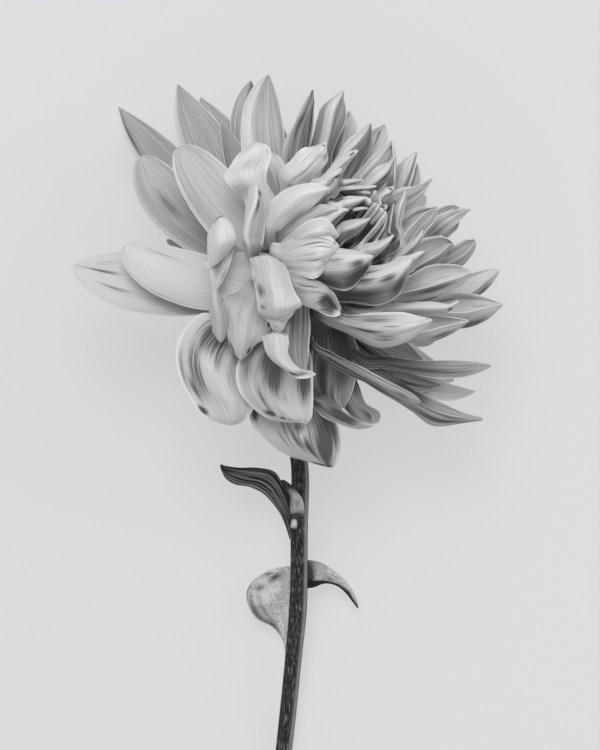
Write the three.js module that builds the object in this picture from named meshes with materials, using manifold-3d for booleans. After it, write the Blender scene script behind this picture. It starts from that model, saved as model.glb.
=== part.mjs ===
// A large decorative dahlia in full bloom on its cut stem, laid down on a flat surface.
// Millimetres, +Z up. The flower head lies towards +Y and the cut end of the stem towards -Y.
// The head rests on its back petals and the stem on its cut end, and the bloom faces up and to +X +Y.
// The origin is the middle of the object's box, on the surface.
import * as THREE from "three";
import { mergeVertices } from "three/addons/utils/BufferGeometryUtils.js";
import Module from "manifold-3d";

const wasm = await Module();
wasm.setup();

const point = (xyz) => new THREE.Vector3(...xyz);

// ---- Driving dimensions ----
const HEAD = point([2.95, 55.1, 46]); // middle of the receptacle, which is its z above the surface
const AXIS = point([0.494, 0.619, 0.604]).normalize(); // where the bloom faces
const PETAL_THICKNESS = 0.9;
const LEAF_THICKNESS = 0.8;
const GAP = 0.3; // between neighbouring pieces

const ROOT_RADIUS = 10; // petals start this far from the receptacle's middle, inside the core
const WIDEST_EXIT = THREE.MathUtils.degToRad(108); // from the axis, for the petals that turn back most
const EYE_ANGLE = THREE.MathUtils.degToRad(34); // petals nearer the axis than this start round the eye
const EYE_RING = 9;
const EYE_RISE = 16;

const SOFT_HEIGHT = 4.5; // petals that hang lower than this are eased on to the surface
const PRESSED_IN = 0.4; // and flattened by this much where they meet it

const SPIRAL_PLACES = 150; // of the outer petals; most places are taken by the petals listed below
const SPIRAL_TURN = THREE.MathUtils.degToRad(137.508);
const SPIRAL_FROM = THREE.MathUtils.degToRad(34);
const SPIRAL_SPREAD = THREE.MathUtils.degToRad(90);
const SPIRAL_CLEARANCE = 13; // a place nearer than this to a listed petal's tip is taken
const LOWEST_TIP = -62; // below the surface, so that such a petal's end is eased flat on to it
const HIGHEST_TIP = 4;

// Radius and rise along the axis.
const CORE = [[0, -9], [12, -8.5], [21, -5], [28, 2], [31, 11], [28, 21], [17, 28], [12, 25], [0, 25]];
const CALYX_BACK = [[0, -13.5], [5, -13.2], [9.5, -10.6], [13, -6.4]];
const CALYX_FRONT = [[12.4, -5.2], [7.3, -9.1], [0, -9.6]];
const BRACTS = 8;
const BRACT_LENGTH = 17;
const BRACT_WIDTH = 7;

const EYE_BASE = 25.4;
const EYE_TOP = 46;
const EYE_RADIUS = 6.2;
const EYE_FLORETS = 10;

const STEM_ROUTE = [[-6.9, -8.6, -8.4], [-8.4, -16, -14.5], [-5.5, -30, -19], [0.8, -54, -23], [1, -76, -27],
  [0.7, -101, -32], [-1.1, -120, -36], [-4.3, -151, -40.6], [-8.5, -184, -43.5]];
const STEM_RADII = [3.6, 3.2, 3, 3, 2.9, 2.8, 2.75, 2.6, 2.8];
const STEM_SIDES = 12;
const STEM_STEPS = 32;

const UPPER_LEAF_ROUTE = [[0.2, -80, -23.8], [-4, -70, -21.5], [-11.5, -62.5, -20], [-19, -58, -20],
  [-25.7, -56, -22]];
const UPPER_LEAF_HALF_WIDTHS = [2.2, 3.4, 3.9, 3, 0.4];
const LEAF_LOBE_ROUTE = [[-4.6, -119.5, -36.5], [-8.6, -109, -38], [-9.4, -99, -38.3], [-2, -90, -38.5]];
const LEAF_LOBE_HALF_WIDTHS = [1.2, 5.4, 7.2, 4.5];
const LEAF_TIP_ROUTE = [[-6, -95, -38.3], [2, -91.8, -38.2], [10, -92, -37.4], [17.3, -96.7, -37],
  [20.7, -104.7, -39]];
const LEAF_TIP_HALF_WIDTHS = [2.6, 4, 3.8, 2.6, 0.4];

// ---- Petals ----
// tip, mid and root are points of the midline from the receptacle's middle, +Z up.
// wide is the flat width, cup the angle that the section bends through, blunt is low for a round tip,
// hook and bow bend the midline, and face is where the inner side looks, the bloom's axis if it isn't given.
const LEFT = [0.05, 0.3, 0.95];
const UP = [0.1, 0.2, 0.97];
const BOAT = [0, 0.5, 0.8];
const HIGH = [0.1, 0.5, 0.8];
const CROWN = [0.4, 0.2, 0.8];
const LOW = [-0.2, 0.6, 0.7];
const DOWN = [0, 0.1, -1];

const LEFT_FAN = [
  { tip: [-60, 64, -22], mid: [-36, 35, -14], wide: 17, blunt: 0.95, cup: 0.9, face: LEFT },
  { tip: [-40, 71.3, -16], mid: [-24.5, 39, -6], wide: 19, blunt: 0.9, cup: 0.9, face: LEFT },
  { tip: [-32.5, 67.5, -34], mid: [-18, 36, -18], wide: 20, blunt: 0.9, cup: 0.9, face: LEFT },
  { tip: [-52, 47, 0], mid: [-35.5, 24.5, 2], wide: 20, blunt: 0.5, cup: 1.2, hook: 4, face: LEFT },
  { tip: [-39, 50, 16], mid: [-22.5, 26.5, 16], wide: 21, blunt: 0.5, cup: 1.1, hook: 4, face: LEFT },
  { tip: [-74.5, 10.5, -6], mid: [-44, 3, 2], wide: 23, blunt: 0.8, cup: 1, hook: 2, face: LEFT },
  { tip: [-57.5, 16.5, 14], mid: [-33.5, 4, 16], wide: 21, blunt: 0.5, cup: 1.3, hook: 6, face: LEFT },
  { tip: [-28, 7, 38], root: [-10, 3, 28], wide: 22, blunt: 0.45, cup: 0.6, face: UP },
];
const CROWN_PETALS = [
  { tip: [-15.5, 72.5, -14], mid: [-14, 45, -6], wide: 15, blunt: 0.9, cup: 1, face: UP },
  { tip: [-9.5, 74, 2], mid: [-11, 46, 6], wide: 16, blunt: 0.8, cup: 1.1, face: UP },
  { tip: [5.5, 68.5, 8], wide: 14, blunt: 0.9, cup: 1.2, face: CROWN },
  { tip: [11.5, 66, -6], wide: 12, blunt: 0.9, cup: 1.2, face: CROWN },
  { tip: [15.5, 68.5, 0], wide: 15, blunt: 0.8, cup: 1.2, face: CROWN },
  { tip: [18.5, 61.5, -14], wide: 12, blunt: 0.9, cup: 1.2, face: CROWN },
  { tip: [24.5, 57.5, 10], wide: 13, blunt: 0.9, cup: 1.6, face: CROWN },
  { tip: [29.5, 57.5, -4], wide: 12, blunt: 0.9, cup: 1.6, face: CROWN },
  { tip: [32, 51.5, 8], wide: 13, blunt: 0.9, cup: 1.6, face: CROWN },
  { tip: [32.5, 45.5, 18], wide: 12, blunt: 0.9, cup: 1.8, face: CROWN },
  { tip: [39.5, 48.5, 0], wide: 13, blunt: 0.9, cup: 1.6, face: CROWN },
  { tip: [41, 44, -8], wide: 10, blunt: 0.9, cup: 1.6, face: CROWN },
  { tip: [44.5, 39, 8], wide: 13, blunt: 0.9, cup: 1.6, face: CROWN },
  { tip: [36.5, 34.5, 24], wide: 8, blunt: 0.9, cup: 2.2 },
];
const BOATS = [
  { tip: [54, 30.5, 2], wide: 12, blunt: 0.7, cup: 2, face: HIGH },
  { tip: [57.5, 28.5, 10], wide: 12, blunt: 0.9, cup: 2, face: HIGH },
  { tip: [46.5, 29.5, 16], wide: 12, blunt: 0.9, cup: 2, face: HIGH },
  { tip: [44.5, 27, 24], wide: 11, blunt: 0.9, cup: 2, face: HIGH },
  { tip: [41.5, 21.5, 34], wide: 10, blunt: 0.9, cup: 2, face: HIGH },
  { tip: [59, 19, 8], wide: 14, blunt: 0.9, cup: 2, face: HIGH },
  { tip: [51.5, 17.5, 24], wide: 13, blunt: 0.7, cup: 2.2, face: HIGH },
  { tip: [41.5, 14.5, 42], wide: 9, blunt: 0.9, cup: 2.2, face: HIGH },
  { tip: [67.5, 9, 4], mid: [38, 4, 12], wide: 16, blunt: 0.85, cup: 2, face: BOAT },
  { tip: [58, 8.5, 26], mid: [34, 2, 26], wide: 17, blunt: 0.8, cup: 2.2, face: BOAT },
  { tip: [38, 11.5, 48], mid: [24, 1, 36], wide: 21, blunt: 0.85, cup: 2.2, face: BOAT },
  { tip: [25.5, 12.5, 54], mid: [15, 4, 40], wide: 20, blunt: 0.85, cup: 2.2, face: BOAT },
  { tip: [53.5, -1.5, 34], mid: [32, -3, 32], wide: 10, blunt: 0.9, cup: 2.6, face: BOAT },
  { tip: [68.5, -2, 12], mid: [40, -5, 16], wide: 20, blunt: 0.8, cup: 2.2, face: BOAT },
  { tip: [57.5, -8, 28], mid: [34, -9, 26], wide: 18, blunt: 0.85, cup: 2.2, face: BOAT },
  { tip: [44.5, -7.5, 46], mid: [24, -11, 38], wide: 21, blunt: 0.75, cup: 2.4, face: BOAT },
];
const LOW_RIGHT = [
  { tip: [63.5, -23, 14], mid: [36, -20, 18], wide: 11, blunt: 1, cup: 1.6, face: LOW },
  { tip: [59.5, -31.5, -4], mid: [35, -27, 4], wide: 10, blunt: 0.9, cup: 1.6, face: LOW },
  { tip: [46.5, -29.5, 4], mid: [27, -24, 8], wide: 10, blunt: 0.9, cup: 1.6, face: LOW },
  { tip: [42, -21, -6], wide: 12, blunt: 0.9, cup: 1.6, face: LOW },
  { tip: [61, -40.5, 6], mid: [36, -31, 12], wide: 15, blunt: 1.05, cup: 1.2, face: BOAT },
  { tip: [40.5, -35.5, 34], mid: [22, -25, 32], wide: 11, blunt: 0.9, cup: 2, face: LOW },
  { tip: [28, -40.5, 16], mid: [15, -22, 20], wide: 18, blunt: 0.6, cup: 0.9, face: LEFT },
  { tip: [26, -43.5, 24], mid: [13, -29, 26], wide: 12, blunt: 0.7, cup: 1.6, face: CROWN },
];
const SKIRT = [
  { tip: [-24.5, -42.5, 22], mid: [-25, -18, 28], wide: 24, blunt: 0.45, cup: 1, face: UP },
  { tip: [-3, -41.8, 30], mid: [-7.5, -20, 30], wide: 26, blunt: 0.4, cup: 0.6, face: UP },
  { tip: [6.5, -55.5, 14], mid: [-1, -30, 20], wide: 29, blunt: 0.45, cup: 1, face: UP },
  { tip: [-18.5, -20.5, 42], mid: [-15.5, -7, 36], wide: 17, blunt: 0.55, cup: 0.5, face: UP },
  { tip: [2, -27, 38], mid: [2, -10, 34], wide: 9, blunt: 0.4, cup: -0.8, face: UP },
];
const TURNED = [
  { tip: [-23.5, 25, 44], mid: [-26.5, 8, 47], root: [-25, -12, 38],
    wide: 9.5, blunt: 0.5, cup: 1.2, base: 0.6, twist: 120, face: [0.5, 0.2, 0.8] },
  { tip: [-13.5, 50, 34], mid: [-15, 33, 34], wide: 15, blunt: 0.5, cup: 0.9, face: UP },
  { tip: [-12.5, 35.8, 50], mid: [-14.6, 22, 46], root: [-13, 8, 40],
    wide: 12, blunt: 0.6, cup: 2.8, base: 0.7, face: [0.5, 0.1, 0.8] },
  { tip: [11, 35, 46], mid: [-5, 28, 45], root: [-8, 17, 36],
    wide: 12, blunt: 0.8, cup: 1.4, base: 0.7, face: [-0.1, 0.5, 0.8] },
  { tip: [17, 28, 46], mid: [4.3, 24, 42], root: [-4, 14, 34], wide: 12, blunt: 0.7, cup: 1.6 },
  { tip: [13.5, 18, 54], mid: [4, 15, 57], root: [-6, 9, 46],
    wide: 19, blunt: 0.4, cup: 1.6, base: 0.6, face: DOWN },
  { tip: [-3, -5, 58], mid: [-6, 4, 63], root: [-9, 14, 46],
    wide: 15, blunt: 0.35, cup: 1.4, base: 0.6, face: DOWN },
  { tip: [-6.5, -12, 52], root: [-6, -3, 50], wide: 9, blunt: 0.8, cup: -0.8, base: 0.9, face: UP },
  { tip: [14, -5.3, 54], mid: [7, 1.5, 57], root: [0, 1, 48],
    wide: 9, blunt: 0.9, cup: 2.2, base: 0.8, face: [-0.3, -0.5, -0.8] },
  { tip: [5, -25.5, 50], mid: [-5.5, -20.5, 52], root: [-8.5, -12.5, 46],
    wide: 10, blunt: 0.8, cup: 1.4, base: 0.8, face: [0.2, 0.4, -0.9] },
  { tip: [9.5, 49.5, 32], mid: [2, 41, 32], wide: 11, blunt: 0.6, cup: 1.4, face: [0.4, -0.2, 0.9] },
  { tip: [20, 48, 30], wide: 7, blunt: 0.9, cup: 2.6 },
  { tip: [14.5, 42, 38], wide: 8, blunt: 0.9, cup: 2.6 },
];
const ROUND_THE_EYE = [
  { tip: [23.7, 25.3, 40], wide: 12, blunt: 0.8, cup: 2.2 },
  { tip: [32, 20, 40], wide: 11, blunt: 0.9, cup: 2.2 },
  { tip: [29, 27.7, 31], wide: 6, blunt: 0.8, cup: 2.6 },
  { tip: [30, 22.5, 36], wide: 6, blunt: 0.8, cup: 2.6 },
  { tip: [32, 30.3, 27], wide: 6, blunt: 0.9, cup: 2.6 },
  { tip: [22.3, 32.3, 36], wide: 8, blunt: 0.9, cup: 2.2 },
  { tip: [25.3, 36.3, 27], wide: 6, blunt: 0.9, cup: 2.2 },
  { tip: [21.3, 38.7, 28], wide: 7, blunt: 0.9, cup: 2.2 },
  { tip: [31.7, 35.7, 24], wide: 7, blunt: 0.7, cup: 2.4 },
];
const LISTED = [...LEFT_FAN, ...CROWN_PETALS, ...BOATS, ...LOW_RIGHT, ...SKIRT, ...TURNED, ...ROUND_THE_EYE];

// The bloom's outline from above, which the petals of the spiral stay inside.
const RIM = [[-71, 7], [-60, 20], [-50, 22], [-48, 34], [-50, 48], [-54, 58], [-38, 66], [-30, 62], [-12, 68],
  [-2, 60], [5, 64], [17, 63], [30, 54], [40, 44], [44, 34], [54, 27], [57, 17], [65, 6], [64, -8], [50, -14],
  [58, -24], [56, -34], [40, -36], [24, -38], [14, -44], [12, -52], [-4, -50], [-16, -36], [-24, -38],
  [-36, -28], [-36, -10], [-50, -6]];

const PLAIN_PETAL = { wide: 16, bow: 4, hook: 0, twist: 0, cup: 1.2, blunt: 0.8, base: 0.32, widest: 0.55 };

// ---- Solids from sections ----

// A closed mesh through rings of points that pair up across their middle, first with last.
function loft(rings) {
  const size = rings[0].length;
  const positions = rings.flat().flatMap((p) => [p.x, p.y, p.z]);
  const faces = [];
  for (let i = 0; i + 1 < rings.length; i++) {
    for (let k = 0; k < size; k++) {
      const a = i * size + k;
      const b = i * size + ((k + 1) % size);
      // Both sides of a blade are split along the same diagonal.
      if (k < size / 2) faces.push(a, b, b + size, a, b + size, a + size);
      else faces.push(a, b, a + size, b, b + size, a + size);
    }
  }
  const last = (rings.length - 1) * size;
  for (let k = 0; k < size / 2 - 1; k++) {
    const across = size - 1 - k;
    faces.push(k, across, k + 1, k + 1, across, across - 1);
    faces.push(last + k, last + k + 1, last + across, last + k + 1, last + across - 1, last + across);
  }
  const geometry = new THREE.BufferGeometry();
  geometry.setAttribute("position", new THREE.Float32BufferAttribute(positions, 3));
  geometry.setIndex(faces);
  return geometry;
}

// The manifold-3d solid of a closed geometry.
function solid(geometry) {
  geometry.deleteAttribute("normal");
  geometry.deleteAttribute("uv");
  const merged = mergeVertices(geometry, 1e-4);
  const mesh = new wasm.Mesh({
    numProp: 3,
    vertProperties: merged.attributes.position.array,
    triVerts: new Uint32Array(merged.index.array),
  });
  const made = new wasm.Manifold(mesh);
  if (made.volume() < 0) throw new Error("a solid is inside out");
  return made;
}

function joined(solids) {
  let level = solids;
  while (level.length > 1) {
    const partners = level.filter((_, i) => i % 2 === 1);
    level = level.filter((_, i) => i % 2 === 0).map((one, i) => (partners[i] ? one.add(partners[i]) : one));
  }
  return level[0];
}

// The largest piece, without the scraps that a cut leaves.
function mainBody(cut) {
  return cut.decompose().sort((a, b) => b.volume() - a.volume())[0];
}

function geometryOf(made) {
  const { vertProperties, triVerts } = made.getMesh();
  const geometry = new THREE.BufferGeometry();
  geometry.setAttribute("position", new THREE.Float32BufferAttribute(vertProperties, 3));
  geometry.setIndex(Array.from(triVerts));
  return geometry;
}

// A solid of revolution about the bloom's axis, from radius and rise.
function turned(profile, sides) {
  const lathe = new THREE.LatheGeometry(profile.map((pair) => new THREE.Vector2(...pair)), sides);
  lathe.applyQuaternion(new THREE.Quaternion().setFromUnitVectors(new THREE.Vector3(0, 1, 0), AXIS));
  return solid(lathe);
}

// ---- Blades ----

// A smooth curve through points given as numbers or as vectors.
function smooth(stops) {
  const places = stops.map((stop) => (stop.isVector3 ? stop : point(stop)));
  return new THREE.CatmullRomCurve3(places, false, "catmullrom", 0.5);
}

// The value at s, from 0 to 1, of values that are spaced evenly.
function valueAt(values, s) {
  const place = s * (values.length - 1);
  const before = Math.min(Math.floor(place), values.length - 2);
  return THREE.MathUtils.lerp(values[before], values[before + 1], place - before);
}

// The face normal carried along the tangents from the middle of the blade.
function carriedNormals(tangents, normal) {
  const middle = Math.floor(tangents.length / 2);
  const normals = [];
  const flatten = (v, tangent) => v.clone().addScaledVector(tangent, -v.dot(tangent)).normalize();
  normals[middle] = flatten(normal, tangents[middle]);
  for (let i = middle + 1; i < tangents.length; i++) normals[i] = flatten(normals[i - 1], tangents[i]);
  for (let i = middle - 1; i >= 0; i--) normals[i] = flatten(normals[i + 1], tangents[i]);
  return normals;
}

// A blade along a curve: halfWidth(s) and a section that bends through cup, twisted along its length.
function blade(curve, normal, { halfWidth, cup, twist = 0, thickness, rows, columns, ease = (p) => p }) {
  const stops = Array.from({ length: rows }, (_, i) => i / (rows - 1));
  const tangents = stops.map((s) => curve.getTangent(s));
  const normals = carriedNormals(tangents, normal);
  const rings = stops.map((s, i) => {
    const turn = THREE.MathUtils.degToRad(twist * (s - 0.5));
    const up = normals[i].clone().applyAxisAngle(tangents[i], turn);
    const side = tangents[i].clone().cross(up);
    const middle = curve.getPoint(s);
    const half = halfWidth(s);
    const bend = cup / 2;
    const upper = [];
    const lower = [];
    for (let j = 0; j < columns; j++) {
      const across = (2 * j) / (columns - 1) - 1;
      const angle = bend * across;
      const place = middle.clone();
      place.addScaledVector(side, (half * Math.sin(angle)) / bend);
      place.addScaledVector(up, (half * (1 - Math.cos(angle))) / bend);
      ease(place);
      const out = up.clone().multiplyScalar(Math.cos(angle)).addScaledVector(side, -Math.sin(angle));
      upper.push(place.clone().addScaledVector(out, thickness / 2));
      lower.unshift(place.clone().addScaledVector(out, -thickness / 2));
    }
    return [...upper, ...lower];
  });
  return solid(loft(rings));
}

// Where a petal leaves the receptacle, and in which direction.
function petalStart(tip) {
  const towards = tip.clone().normalize();
  const angle = towards.angleTo(AXIS);
  const side = towards.clone().addScaledVector(AXIS, -towards.dot(AXIS)).normalize();
  const exit = Math.min(angle * 0.92, WIDEST_EXIT);
  const out = AXIS.clone().multiplyScalar(Math.cos(exit)).addScaledVector(side, Math.sin(exit));
  const near = Math.max(0, 1 - angle / EYE_ANGLE);
  const ring = AXIS.clone().multiplyScalar(EYE_RISE).addScaledVector(side, EYE_RING);
  const place = out.clone().multiplyScalar(ROOT_RADIUS).lerp(ring, near);
  return { place, out: out.lerp(AXIS, near).normalize() };
}

// Points that hang lower than the soft height are eased up, down to just into the surface.
function easeOnToSurface(place) {
  const lowest = PETAL_THICKNESS / 2 - PRESSED_IN - HEAD.z;
  const height = place.z - lowest;
  if (height < SOFT_HEIGHT) place.z = lowest + SOFT_HEIGHT * Math.exp(height / SOFT_HEIGHT - 1);
}

function petal(listed) {
  const row = { ...PLAIN_PETAL, ...listed };
  const tip = point(row.tip);
  const root = row.root ? point(row.root) : null;
  const { place, out } = petalStart(tip);
  const from = root ?? place;
  const chord = tip.clone().sub(from);
  const length = chord.length();
  const along = chord.normalize();
  const look = row.face ? point(row.face).normalize() : AXIS;
  const normal = look.clone().addScaledVector(along, -look.dot(along)).normalize();
  let curve;
  if (root) {
    const stops = [root.clone().normalize().multiplyScalar(ROOT_RADIUS), root, tip];
    if (row.mid) stops.splice(2, 0, point(row.mid));
    curve = smooth(stops);
  } else {
    const near = place.clone().addScaledVector(out.add(along), 0.18 * length);
    const far = tip.clone().addScaledVector(along, -0.3 * length).addScaledVector(normal, -row.hook);
    const shift = normal.clone().multiplyScalar(-row.bow / 0.75);
    if (row.mid) {
      // The middle of a cubic curve is an eighth of its ends and three eighths of its inner points.
      shift.copy(point(row.mid)).multiplyScalar(8).sub(place).sub(tip);
      shift.addScaledVector(near, -3).addScaledVector(far, -3).divideScalar(6);
    }
    curve = new THREE.CubicBezierCurve3(place, near.add(shift), far.add(shift), tip);
  }
  const halfWidth = (s) => {
    const over = Math.max(0, (s - row.widest) / (1 - row.widest));
    const grow = row.base + (1 - row.base) * Math.sin((Math.PI / 2) * Math.min(1, s / row.widest)) ** 1.2;
    return Math.max(0.3, (row.wide / 2) * (s < row.widest ? grow : (1 - over ** 2.2) ** row.blunt));
  };
  return blade(curve, normal, {
    halfWidth,
    cup: row.cup,
    twist: row.twist,
    thickness: PETAL_THICKNESS,
    rows: row.wide > 15 || root ? 7 : 5,
    columns: row.wide > 21 ? 5 : 3,
    ease: easeOnToSurface,
  });
}

function insideRim(x, y) {
  let inside = false;
  RIM.forEach(([ax, ay], i) => {
    const [bx, by] = RIM[(i + 1) % RIM.length];
    if (ay > y !== by > y && x < ((bx - ax) * (y - ay)) / (by - ay) + ax) inside = !inside;
  });
  return inside;
}

// The outer petals that the list leaves out, on a golden-angle spiral round the axis.
function spiralPetals() {
  const tips = LISTED.map((row) => point(row.tip));
  const across = new THREE.Vector3(0, 0, 1).cross(AXIS).normalize();
  const upwards = AXIS.clone().cross(across);
  const found = [];
  for (let i = 0; i < SPIRAL_PLACES; i++) {
    const polar = SPIRAL_FROM + SPIRAL_SPREAD * ((i + 0.5) / SPIRAL_PLACES) ** 0.85;
    const around = i * SPIRAL_TURN;
    const wander = ((i * 0.618034) % 1) - 0.5;
    const reach = (50 + 18 * Math.sin(Math.min(polar, 1.55)) ** 2) * (1 + 0.08 * wander);
    const tip = AXIS.clone().multiplyScalar(Math.cos(polar));
    tip.addScaledVector(across, Math.cos(around) * Math.sin(polar));
    tip.addScaledVector(upwards, Math.sin(around) * Math.sin(polar)).multiplyScalar(reach);
    if (tip.z < -HEAD.z) {
      // It would point into the surface, so it splays out along it.
      tip.setZ(0).setLength(Math.sqrt(reach ** 2 - HEAD.z ** 2)).setZ(LOWEST_TIP);
    }
    const taken = tips.some((other) => other.distanceTo(tip) < SPIRAL_CLEARANCE);
    if (tip.z > HIGHEST_TIP || taken || !insideRim(tip.x, tip.y)) continue;
    tips.push(tip);
    found.push({ tip: tip.toArray(), wide: 12 + 2.5 * polar, bow: 4 + 2 * wander, cup: 1.9 - 0.5 * polar });
  }
  return found;
}

// ---- Pieces ----

// Each piece that a neighbour keeps clear of can be made with spare all round.

function sideways(i, turn) {
  return new THREE.Vector3(0, 0, 1).cross(AXIS).normalize().applyAxisAngle(AXIS, i * turn);
}

// The eye: a tight bud of young florets that still curl over the middle.
function eye(spare = 0) {
  const side = EYE_RADIUS + spare;
  const top = EYE_TOP + spare;
  const profile = [[0, EYE_BASE - spare], [side - 1, EYE_BASE - spare], [side, 32], [side - 0.8, 39],
    [side - EYE_RADIUS / 2, top - 2], [0, top - 1]];
  const florets = Array.from({ length: EYE_FLORETS }, (_, i) => {
    const spread = 1.4 + 0.4 * i;
    const outwards = sideways(i, SPIRAL_TURN);
    const stops = [[1, 32], [1.1, 40], [0.75, EYE_TOP + 2 - 0.35 * i]].map(([share, rise]) =>
      AXIS.clone().multiplyScalar(rise).addScaledVector(outwards, spread * share));
    return blade(smooth(stops), outwards.clone().negate(), {
      halfWidth: (s) => 1.3 - 0.8 * s + spare,
      cup: 1.6,
      thickness: 0.8 + 2 * spare,
      rows: 4,
      columns: 3,
    });
  });
  return joined([turned(profile, 14), ...florets]);
}

function bract(i, spare) {
  const side = sideways(i, (2 * Math.PI) / BRACTS);
  const reach = 8 + BRACT_LENGTH;
  const stops = [[8, -9.8], [12.5, -11], [(8 + reach) / 2, -13], [reach, -18]].map(([out, rise]) =>
    AXIS.clone().multiplyScalar(rise).addScaledVector(side, out));
  return blade(smooth(stops), AXIS, {
    halfWidth: (s) => Math.max(0.4, (BRACT_WIDTH / 2) * Math.sin(Math.PI * (0.2 + 0.8 * s)) ** 0.8) + spare,
    cup: 0.8,
    thickness: LEAF_THICKNESS + 2 * spare,
    rows: 6,
    columns: 3,
  });
}

// The calyx behind the head: a shallow cup with bracts that stand out round it.
function calyx(spare = 0) {
  const grow = (profile, way) => profile.map(([r, rise]) => [r && r + spare, rise + way * spare]);
  const cup = turned([...grow(CALYX_BACK, -1), ...grow(CALYX_FRONT, 1)], 20);
  return joined([cup, ...Array.from({ length: BRACTS }, (_, i) => bract(i, spare))]);
}

// The bloom: every ray petal, and the core that they grow from.
function bloom() {
  const petals = [...LISTED, ...spiralPetals()].map(petal);
  const whole = joined([turned(CORE, 24), ...petals]);
  return whole.subtract(eye(GAP)).subtract(calyx(GAP)).subtract(belowSurface());
}

function stem(spare = 0) {
  const curve = smooth(STEM_ROUTE);
  const rings = [];
  for (let i = 0; i <= STEM_STEPS; i++) {
    const s = i / STEM_STEPS;
    const radius = valueAt(STEM_RADII, s) + spare;
    const tangent = curve.getTangent(s);
    const side = tangent.clone().cross(new THREE.Vector3(0, 0, 1)).normalize();
    const up = side.clone().cross(tangent);
    const middle = curve.getPoint(s);
    rings.push(Array.from({ length: STEM_SIDES }, (_, k) => {
      const angle = (2 * Math.PI * (k + 0.5)) / STEM_SIDES;
      const rim = middle.clone().addScaledVector(side, -radius * Math.cos(angle));
      return rim.addScaledVector(up, radius * Math.sin(angle));
    }));
  }
  return solid(loft(rings));
}

function leafBlade(route, halfWidths, look, cup) {
  const halfWidth = (s) => valueAt(halfWidths, s);
  const form = { halfWidth, cup, thickness: LEAF_THICKNESS, rows: 11, columns: 5 };
  return blade(smooth(route), point(look), form);
}

function upperLeaf() {
  return leafBlade(UPPER_LEAF_ROUTE, UPPER_LEAF_HALF_WIDTHS, UP, 1.5).subtract(stem(GAP));
}

// The lower leaf wraps round behind the stem, and its tip hangs out on the other side.
function lowerLeaf() {
  const lobe = leafBlade(LEAF_LOBE_ROUTE, LEAF_LOBE_HALF_WIDTHS, UP, 0.8);
  const tip = leafBlade(LEAF_TIP_ROUTE, LEAF_TIP_HALF_WIDTHS, UP, 0.8);
  return lobe.add(tip).subtract(stem(GAP));
}

function belowSurface() {
  const slab = new THREE.BoxGeometry(400, 600, 40);
  slab.translate(0, 0, -HEAD.z - 20);
  return solid(slab);
}

// ---- The flower ----
const PALE_PETAL = { color: 0xd2d2d0, roughness: 0.62 };
const DARK_FLORET = { color: 0x4a4a49, roughness: 0.6 };
const CALYX_GREY = { color: 0x4c4d4b, roughness: 0.6 };
const STEM_GREY = { color: 0x3a3a39, roughness: 0.5 };
const LEAF_GREY = { color: 0x2f302f, roughness: 0.5 };
const LEAF_BACK_GREY = { color: 0x9a9b99, roughness: 0.65 };

const flower = new THREE.Group();
flower.position.copy(HEAD);

const pieces = {
  bloom: [bloom(), PALE_PETAL],
  eye_florets: [eye(), DARK_FLORET],
  calyx: [calyx().subtract(stem(GAP)), CALYX_GREY],
  stem: [stem().subtract(belowSurface()), STEM_GREY],
  upper_leaf: [upperLeaf(), LEAF_GREY],
  lower_leaf: [lowerLeaf(), LEAF_BACK_GREY],
};
for (const [name, [made, finish]] of Object.entries(pieces)) {
  const material = new THREE.MeshStandardMaterial({ metalness: 0, ...finish });
  const mesh = new THREE.Mesh(geometryOf(mainBody(made)), material);
  mesh.name = name;
  flower.add(mesh);
}

export default flower;
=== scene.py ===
"""A large decorative dahlia on its cut stem, lying on a pale surface.

Run as a script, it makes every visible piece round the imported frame. Sizes in the petal and leaf lists are
millimetres from the middle of the receptacle, with +Z up; everything in Blender is in metres.
"""

import math

import bpy
import numpy as np
from bpy.props import FloatProperty, FloatVectorProperty, IntProperty, PointerProperty
from bpy.types import Operator, Panel, PropertyGroup
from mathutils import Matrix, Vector


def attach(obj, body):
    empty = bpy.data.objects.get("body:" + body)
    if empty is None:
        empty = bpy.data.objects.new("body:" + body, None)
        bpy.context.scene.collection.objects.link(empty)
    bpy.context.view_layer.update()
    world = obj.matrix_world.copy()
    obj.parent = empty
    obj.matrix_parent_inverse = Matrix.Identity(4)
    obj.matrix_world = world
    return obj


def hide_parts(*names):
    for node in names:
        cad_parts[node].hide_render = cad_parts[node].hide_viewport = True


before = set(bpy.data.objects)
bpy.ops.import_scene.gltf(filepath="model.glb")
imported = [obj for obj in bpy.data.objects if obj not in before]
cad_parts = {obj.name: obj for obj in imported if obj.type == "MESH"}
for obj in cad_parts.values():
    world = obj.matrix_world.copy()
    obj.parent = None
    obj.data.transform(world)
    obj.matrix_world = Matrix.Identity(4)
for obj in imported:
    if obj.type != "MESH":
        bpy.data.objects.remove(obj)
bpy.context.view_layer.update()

bl_info = {
    "name": "Decorative Dahlia",
    "version": (1, 0, 0),
    "blender": (4, 5, 0),
    "location": "3D View > Sidebar > Dahlia",
    "description": "Makes a large dahlia bloom on its cut stem, with its leaves, calyx and studio stage",
    "category": "Add Mesh",
}

# ---- Driving dimensions, in millimetres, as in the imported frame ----
MM = 0.001
HEAD = np.array([2.95, 55.1, 46.0])  # middle of the receptacle in the part's frame
AXIS = np.array([0.494, 0.619, 0.604]) / np.linalg.norm([0.494, 0.619, 0.604])  # where the bloom faces

ROOT_RADIUS = 10.0
EXIT_SHARE = 0.92  # a petal leaves the receptacle at this share of its tip's angle from the axis
WIDEST_EXIT = math.radians(108)
EYE_ANGLE = math.radians(34)  # petals closer to the axis than this start nearer to the ring round the eye
EYE_RING = 9.0
EYE_RISE = 16.0
EYE_BASE = 25.4
EYE_TOP = 46.0
EYE_RADIUS = 6.2

SOFT_HEIGHT = 4.5  # petals bend below this height, so that they lie on the surface
PRESSED_IN = 0.4
CAD_THICKNESS = 0.9

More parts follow.
